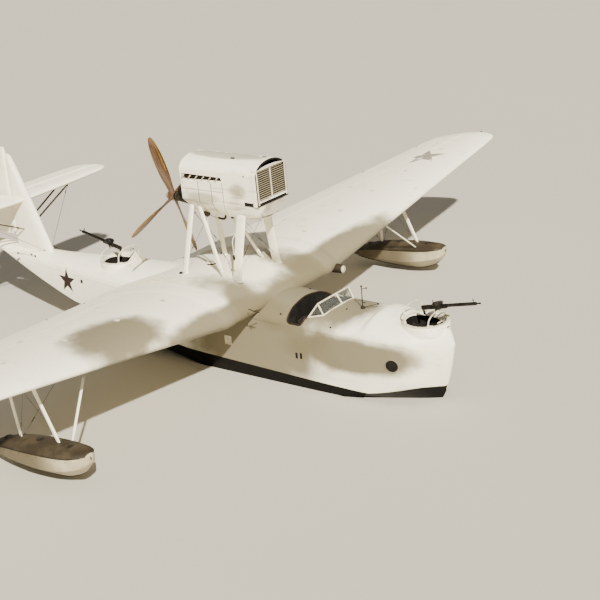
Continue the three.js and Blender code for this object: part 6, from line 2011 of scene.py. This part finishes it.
# Small crossed cleats on the bow deck, caps beside the windscreen
for aft, out in ((0.66, -0.05), (0.58, 0.03)):
    spot = at(aft, out, deck_up(aft, out) + 0.012)
    for a in (0.7, 2.3):
        fittings.tube([spot - deck_spoke(a) * 0.045, spot + deck_spoke(a) * 0.045], 0.008, 8)
for aft, out in ((2.72, -0.16), (2.62, 0.30), (2.72, -0.72), (3.95, -0.68), (4.10, 0.50)):
    fittings.turned([(0, 0.012), (0.018, 0.010), (0.022, 0.0), (0.022, -0.01)],
                    at(aft, out, deck_up(aft, out)), sides=12)
print("cleats and caps:", len(fittings.faces), "faces")

# %% [markdown]
# The same bench goes on with the parts that ropes and trolley pull on: a ring bolt on the bow
# deck, an eye and a rubbing bar on the stem, a ring at the stern and a steel pad on each side. A
# thin strip along the deck's edge follows the hull's own tables.

# %% Bow eyes, rubbing strips and beaching pads
fittings.finish = 0
loop_at = at(0.745, 0.03, deck_up(0.745, 0.03) + 0.030)
fittings.tube([loop_at + Vector((0.03 * math.cos(a), 0.062 * math.sin(a), 0.020 * math.cos(a)))
               for a in turns(20)], 0.011, 8, closed=True)
# Towing eye on the stem and mooring ring at the stern
fittings.eye(at(0.445, 0, 1.60), Y_WAY, 0.016, 0.034, 0.012, 20)
fittings.eye(at(13.16, 0, 2.185), Y_WAY, 0.016, 0.026, 0.005, 16)
fittings.box(at(0.475, 0, 1.60), (0.06, 0.03, 0.085))
fittings.tube([at(0.452, 0, 1.50), at(0.50, 0, 1.26), at(0.575, 0, 0.96), at(0.66, 0, 0.70)], 0.012, 8)
for turn in (-1, 1):
    # Steel plates where the wheels of the launching trolley are pinned
    fittings.finish = 0
    fittings.box(at(5.30, turn * 0.808, 1.20), (0.175, 0.020, 0.195))
    for aft in (5.235, 5.365):
        for up in (1.125, 1.275):
            fittings.dome(at(aft, turn * 0.818, up), Y_WAY * turn, 0.011)
    # Round-nosed strip at the deck's edge, in the hull's own paint
    fittings.finish = 2
    for table, start, end in ((FOREBODY, 0.60, 3.3), (FOREBODY, 3.9, 6.05), (AFTERBODY, 6.2, 12.6)):
        rows = [(aft, curve_through(table, aft)) for aft in stations(start, end, 0.15)]
        fittings.tube([at(aft, turn * (row[3] + 0.002), row[4]) for aft, row in rows], 0.007, 6)
make("hull_fittings", fittings, [PALE_METAL, BLACK_AND_SHADE, HULL])
print("hull fittings:", len(fittings.faces), "faces")

# %% [markdown]
# The wing's upper skin carries round inspection plates, a footway of ribbed strips beside the
# engine, picketing rings and a lamp at each tip; the tail's pushrods are external wires that run
# from the hull through small fairleads to the horns.

# %% Wing and tail fittings
# Columns: out, share of the chord
PLATES = [(2.3, 0.30), (3.6, 0.30), (4.9, 0.32), (6.3, 0.34), (7.9, 0.36), (3.0, 0.62), (5.2, 0.62),
          (8.4, 0.60)]
RINGS = [(8.39, 0.955), (6.61, 0.965), (3.4, 0.955), (2.1, 0.955)]
wing_bits = Bench()
for out, f in PLATES:
    spot = wing_skin(out, f, 1)
    wing_bits.turned([(0.062, 0.0035), (0.068, 0.0), (0.068, -0.006)], spot, (0, 0.05, 1), 26)
    for a in turns(6):
        wing_bits.dome(spot + deck_spoke(a) * 0.052 + Z_WAY * 0.0035, Z_WAY, 0.004, 6)
for out in spread(0.93, 1.26, 7):
    wing_bits.tube([wing_skin(out, f, 1) + Z_WAY * 0.002 for f in spread(0.42, 0.80, 12)], 0.006, 6)
wing_bits.finish = 1
for out, f in RINGS:
    wing_bits.turned([(0, 0.012), (0.018, 0.010), (0.022, -0.006)], wing_skin(out, f, 1), sides=12)
lamp_at = wing_skin(9.40, 0.35, 1)
wing_bits.tube([lamp_at, lamp_at + Vector((0, 0.01, 0.03))], [0.026, 0.012], 14)
wing_bits.mirrored()
# Forked airspeed probe on the starboard leading edge
probe = at(4.26, -1.26, 2.20)
wing_bits.tube([probe, probe + Vector((0.10, 0, -0.02)), probe + Vector((0.26, 0, -0.03))], 0.010, 8)
for turn in (-1, 1):
    wing_bits.tube([probe + Vector((0.12, 0, -0.02)), probe + Vector((0.24, turn * 0.07, 0.0))], 0.008, 8)
make("wing_fittings", wing_bits, [PALE_METAL, DARK])

FAIRLEADS = [(11.45, 0.32, 2.06), (11.60, 0.30, 2.08), (12.11, 0.27, 2.03)]
cables = Bench()
wire(cables, at(12.02, STRUT_TOP_OUT, TAIL_UP - TAIL_HALF), at(11.33, 0.10, 2.13), 0.005, 0.12)
cables.tube([at(aft, out + 0.02, up) for aft, out, up in FAIRLEADS], 0.005, 6)
for aft, out, up in FAIRLEADS:
    cables.box(at(aft, out + 0.010, up), (0.04, 0.026, 0.024))
cables.turned([(0, -0.03), (0.022, -0.018), (0.026, 0), (0.022, 0.018), (0, 0.03)], at(12.11, 0.30, 1.88),
              Y_WAY, 14)
cables.eye(at(12.02, 0.33, 1.93), X_WAY, 0.010, 0.018, 0.004, 14)
make("tail_cables", cables.mirrored(), [WIRE])
print("plates on the wing:", 2 * len(PLATES))

# %% [markdown]
# The studio is a plain pale floor at the waterline, a soft sun from ahead and to starboard as in
# the air, a broad overhead light and a warm sky that fills the shadows.

# %% Studio
FLOOR_HALF, FLOOR_UP, SUN_TOWARDS = 150, -0.001, Vector((0.6, -0.5, 0.64))
corners = [(x * FLOOR_HALF, y * FLOOR_HALF, FLOOR_UP) for x, y in ((-1, -1), (1, -1), (1, 1), (-1, 1))]
floor_mesh = bpy.data.meshes.new("floor")
floor_mesh.from_pydata(corners, [], [(0, 1, 2, 3)])
floor_finish = Finish("floor_finish", shade(186, 180, 166), 0.8)
floor_finish.paint(shade(176, 170, 156), floor_finish.noise(0.2), 0.4)
floor_mesh.materials.append(floor_finish.done())
link("floor", floor_mesh)

sun_data = bpy.data.lights.new("sun", "SUN")
sun_data.energy, sun_data.angle, sun_data.color = 10.5, math.radians(1.5), (1.0, 0.96, 0.86)
link("sun", sun_data).rotation_euler = SUN_TOWARDS.to_track_quat("Z", "Y").to_euler()

soft_data = bpy.data.lights.new("softbox", "AREA")
soft_data.shape, soft_data.size, soft_data.size_y = "RECTANGLE", 24, 16
soft_data.energy, soft_data.color = 600, (1.0, 0.97, 0.9)
soft = link("softbox", soft_data)
soft.location = (6, -10, 18)
soft.rotation_euler = Vector(soft.location).to_track_quat("Z", "Y").to_euler()

world = bpy.data.worlds.new("sky")
bpy.context.scene.world = world
world.use_nodes = True
sky = world.node_tree.nodes["Background"].inputs
sky["Color"].default_value, sky["Strength"].default_value = (1.0, 0.97, 0.9, 1), 0.30
print("studio set")

# %% [markdown]
# Last, every mesh of the engineering model that still shows takes the finish of its material slot.

# %% Carried-over solids
SLOT_FINISH = {
    "hull_paint": HULL, "bottom_paint": BOTTOM, "wing_paint": WING, "surface_fabric": FABRIC,
    "strut_paint": STRUT, "cowl_metal": COWL, "radiator_metal": GREY_METAL, "dark_metal": DARK,
    "exhaust_steel": EXHAUST, "propeller_wood": WOOD, "float_paint": FLOAT_SIDE,
    "ring_metal": GREY_METAL, "gun_steel": GUN, "clear_pane": GLASS, "seat_leather": LEATHER,
    "panel_paint": PANEL,
}
kept = 0
for part in frame["record"]["subparts"]:
    solid = bpy.data.objects.get(part["node"])
    if solid is not None and solid.data.materials:
        for index in range(len(solid.data.materials)):
            solid.data.materials[index] = SLOT_FINISH[part["material_slot"]]
        kept += 1
print("solids with a finish:", kept)
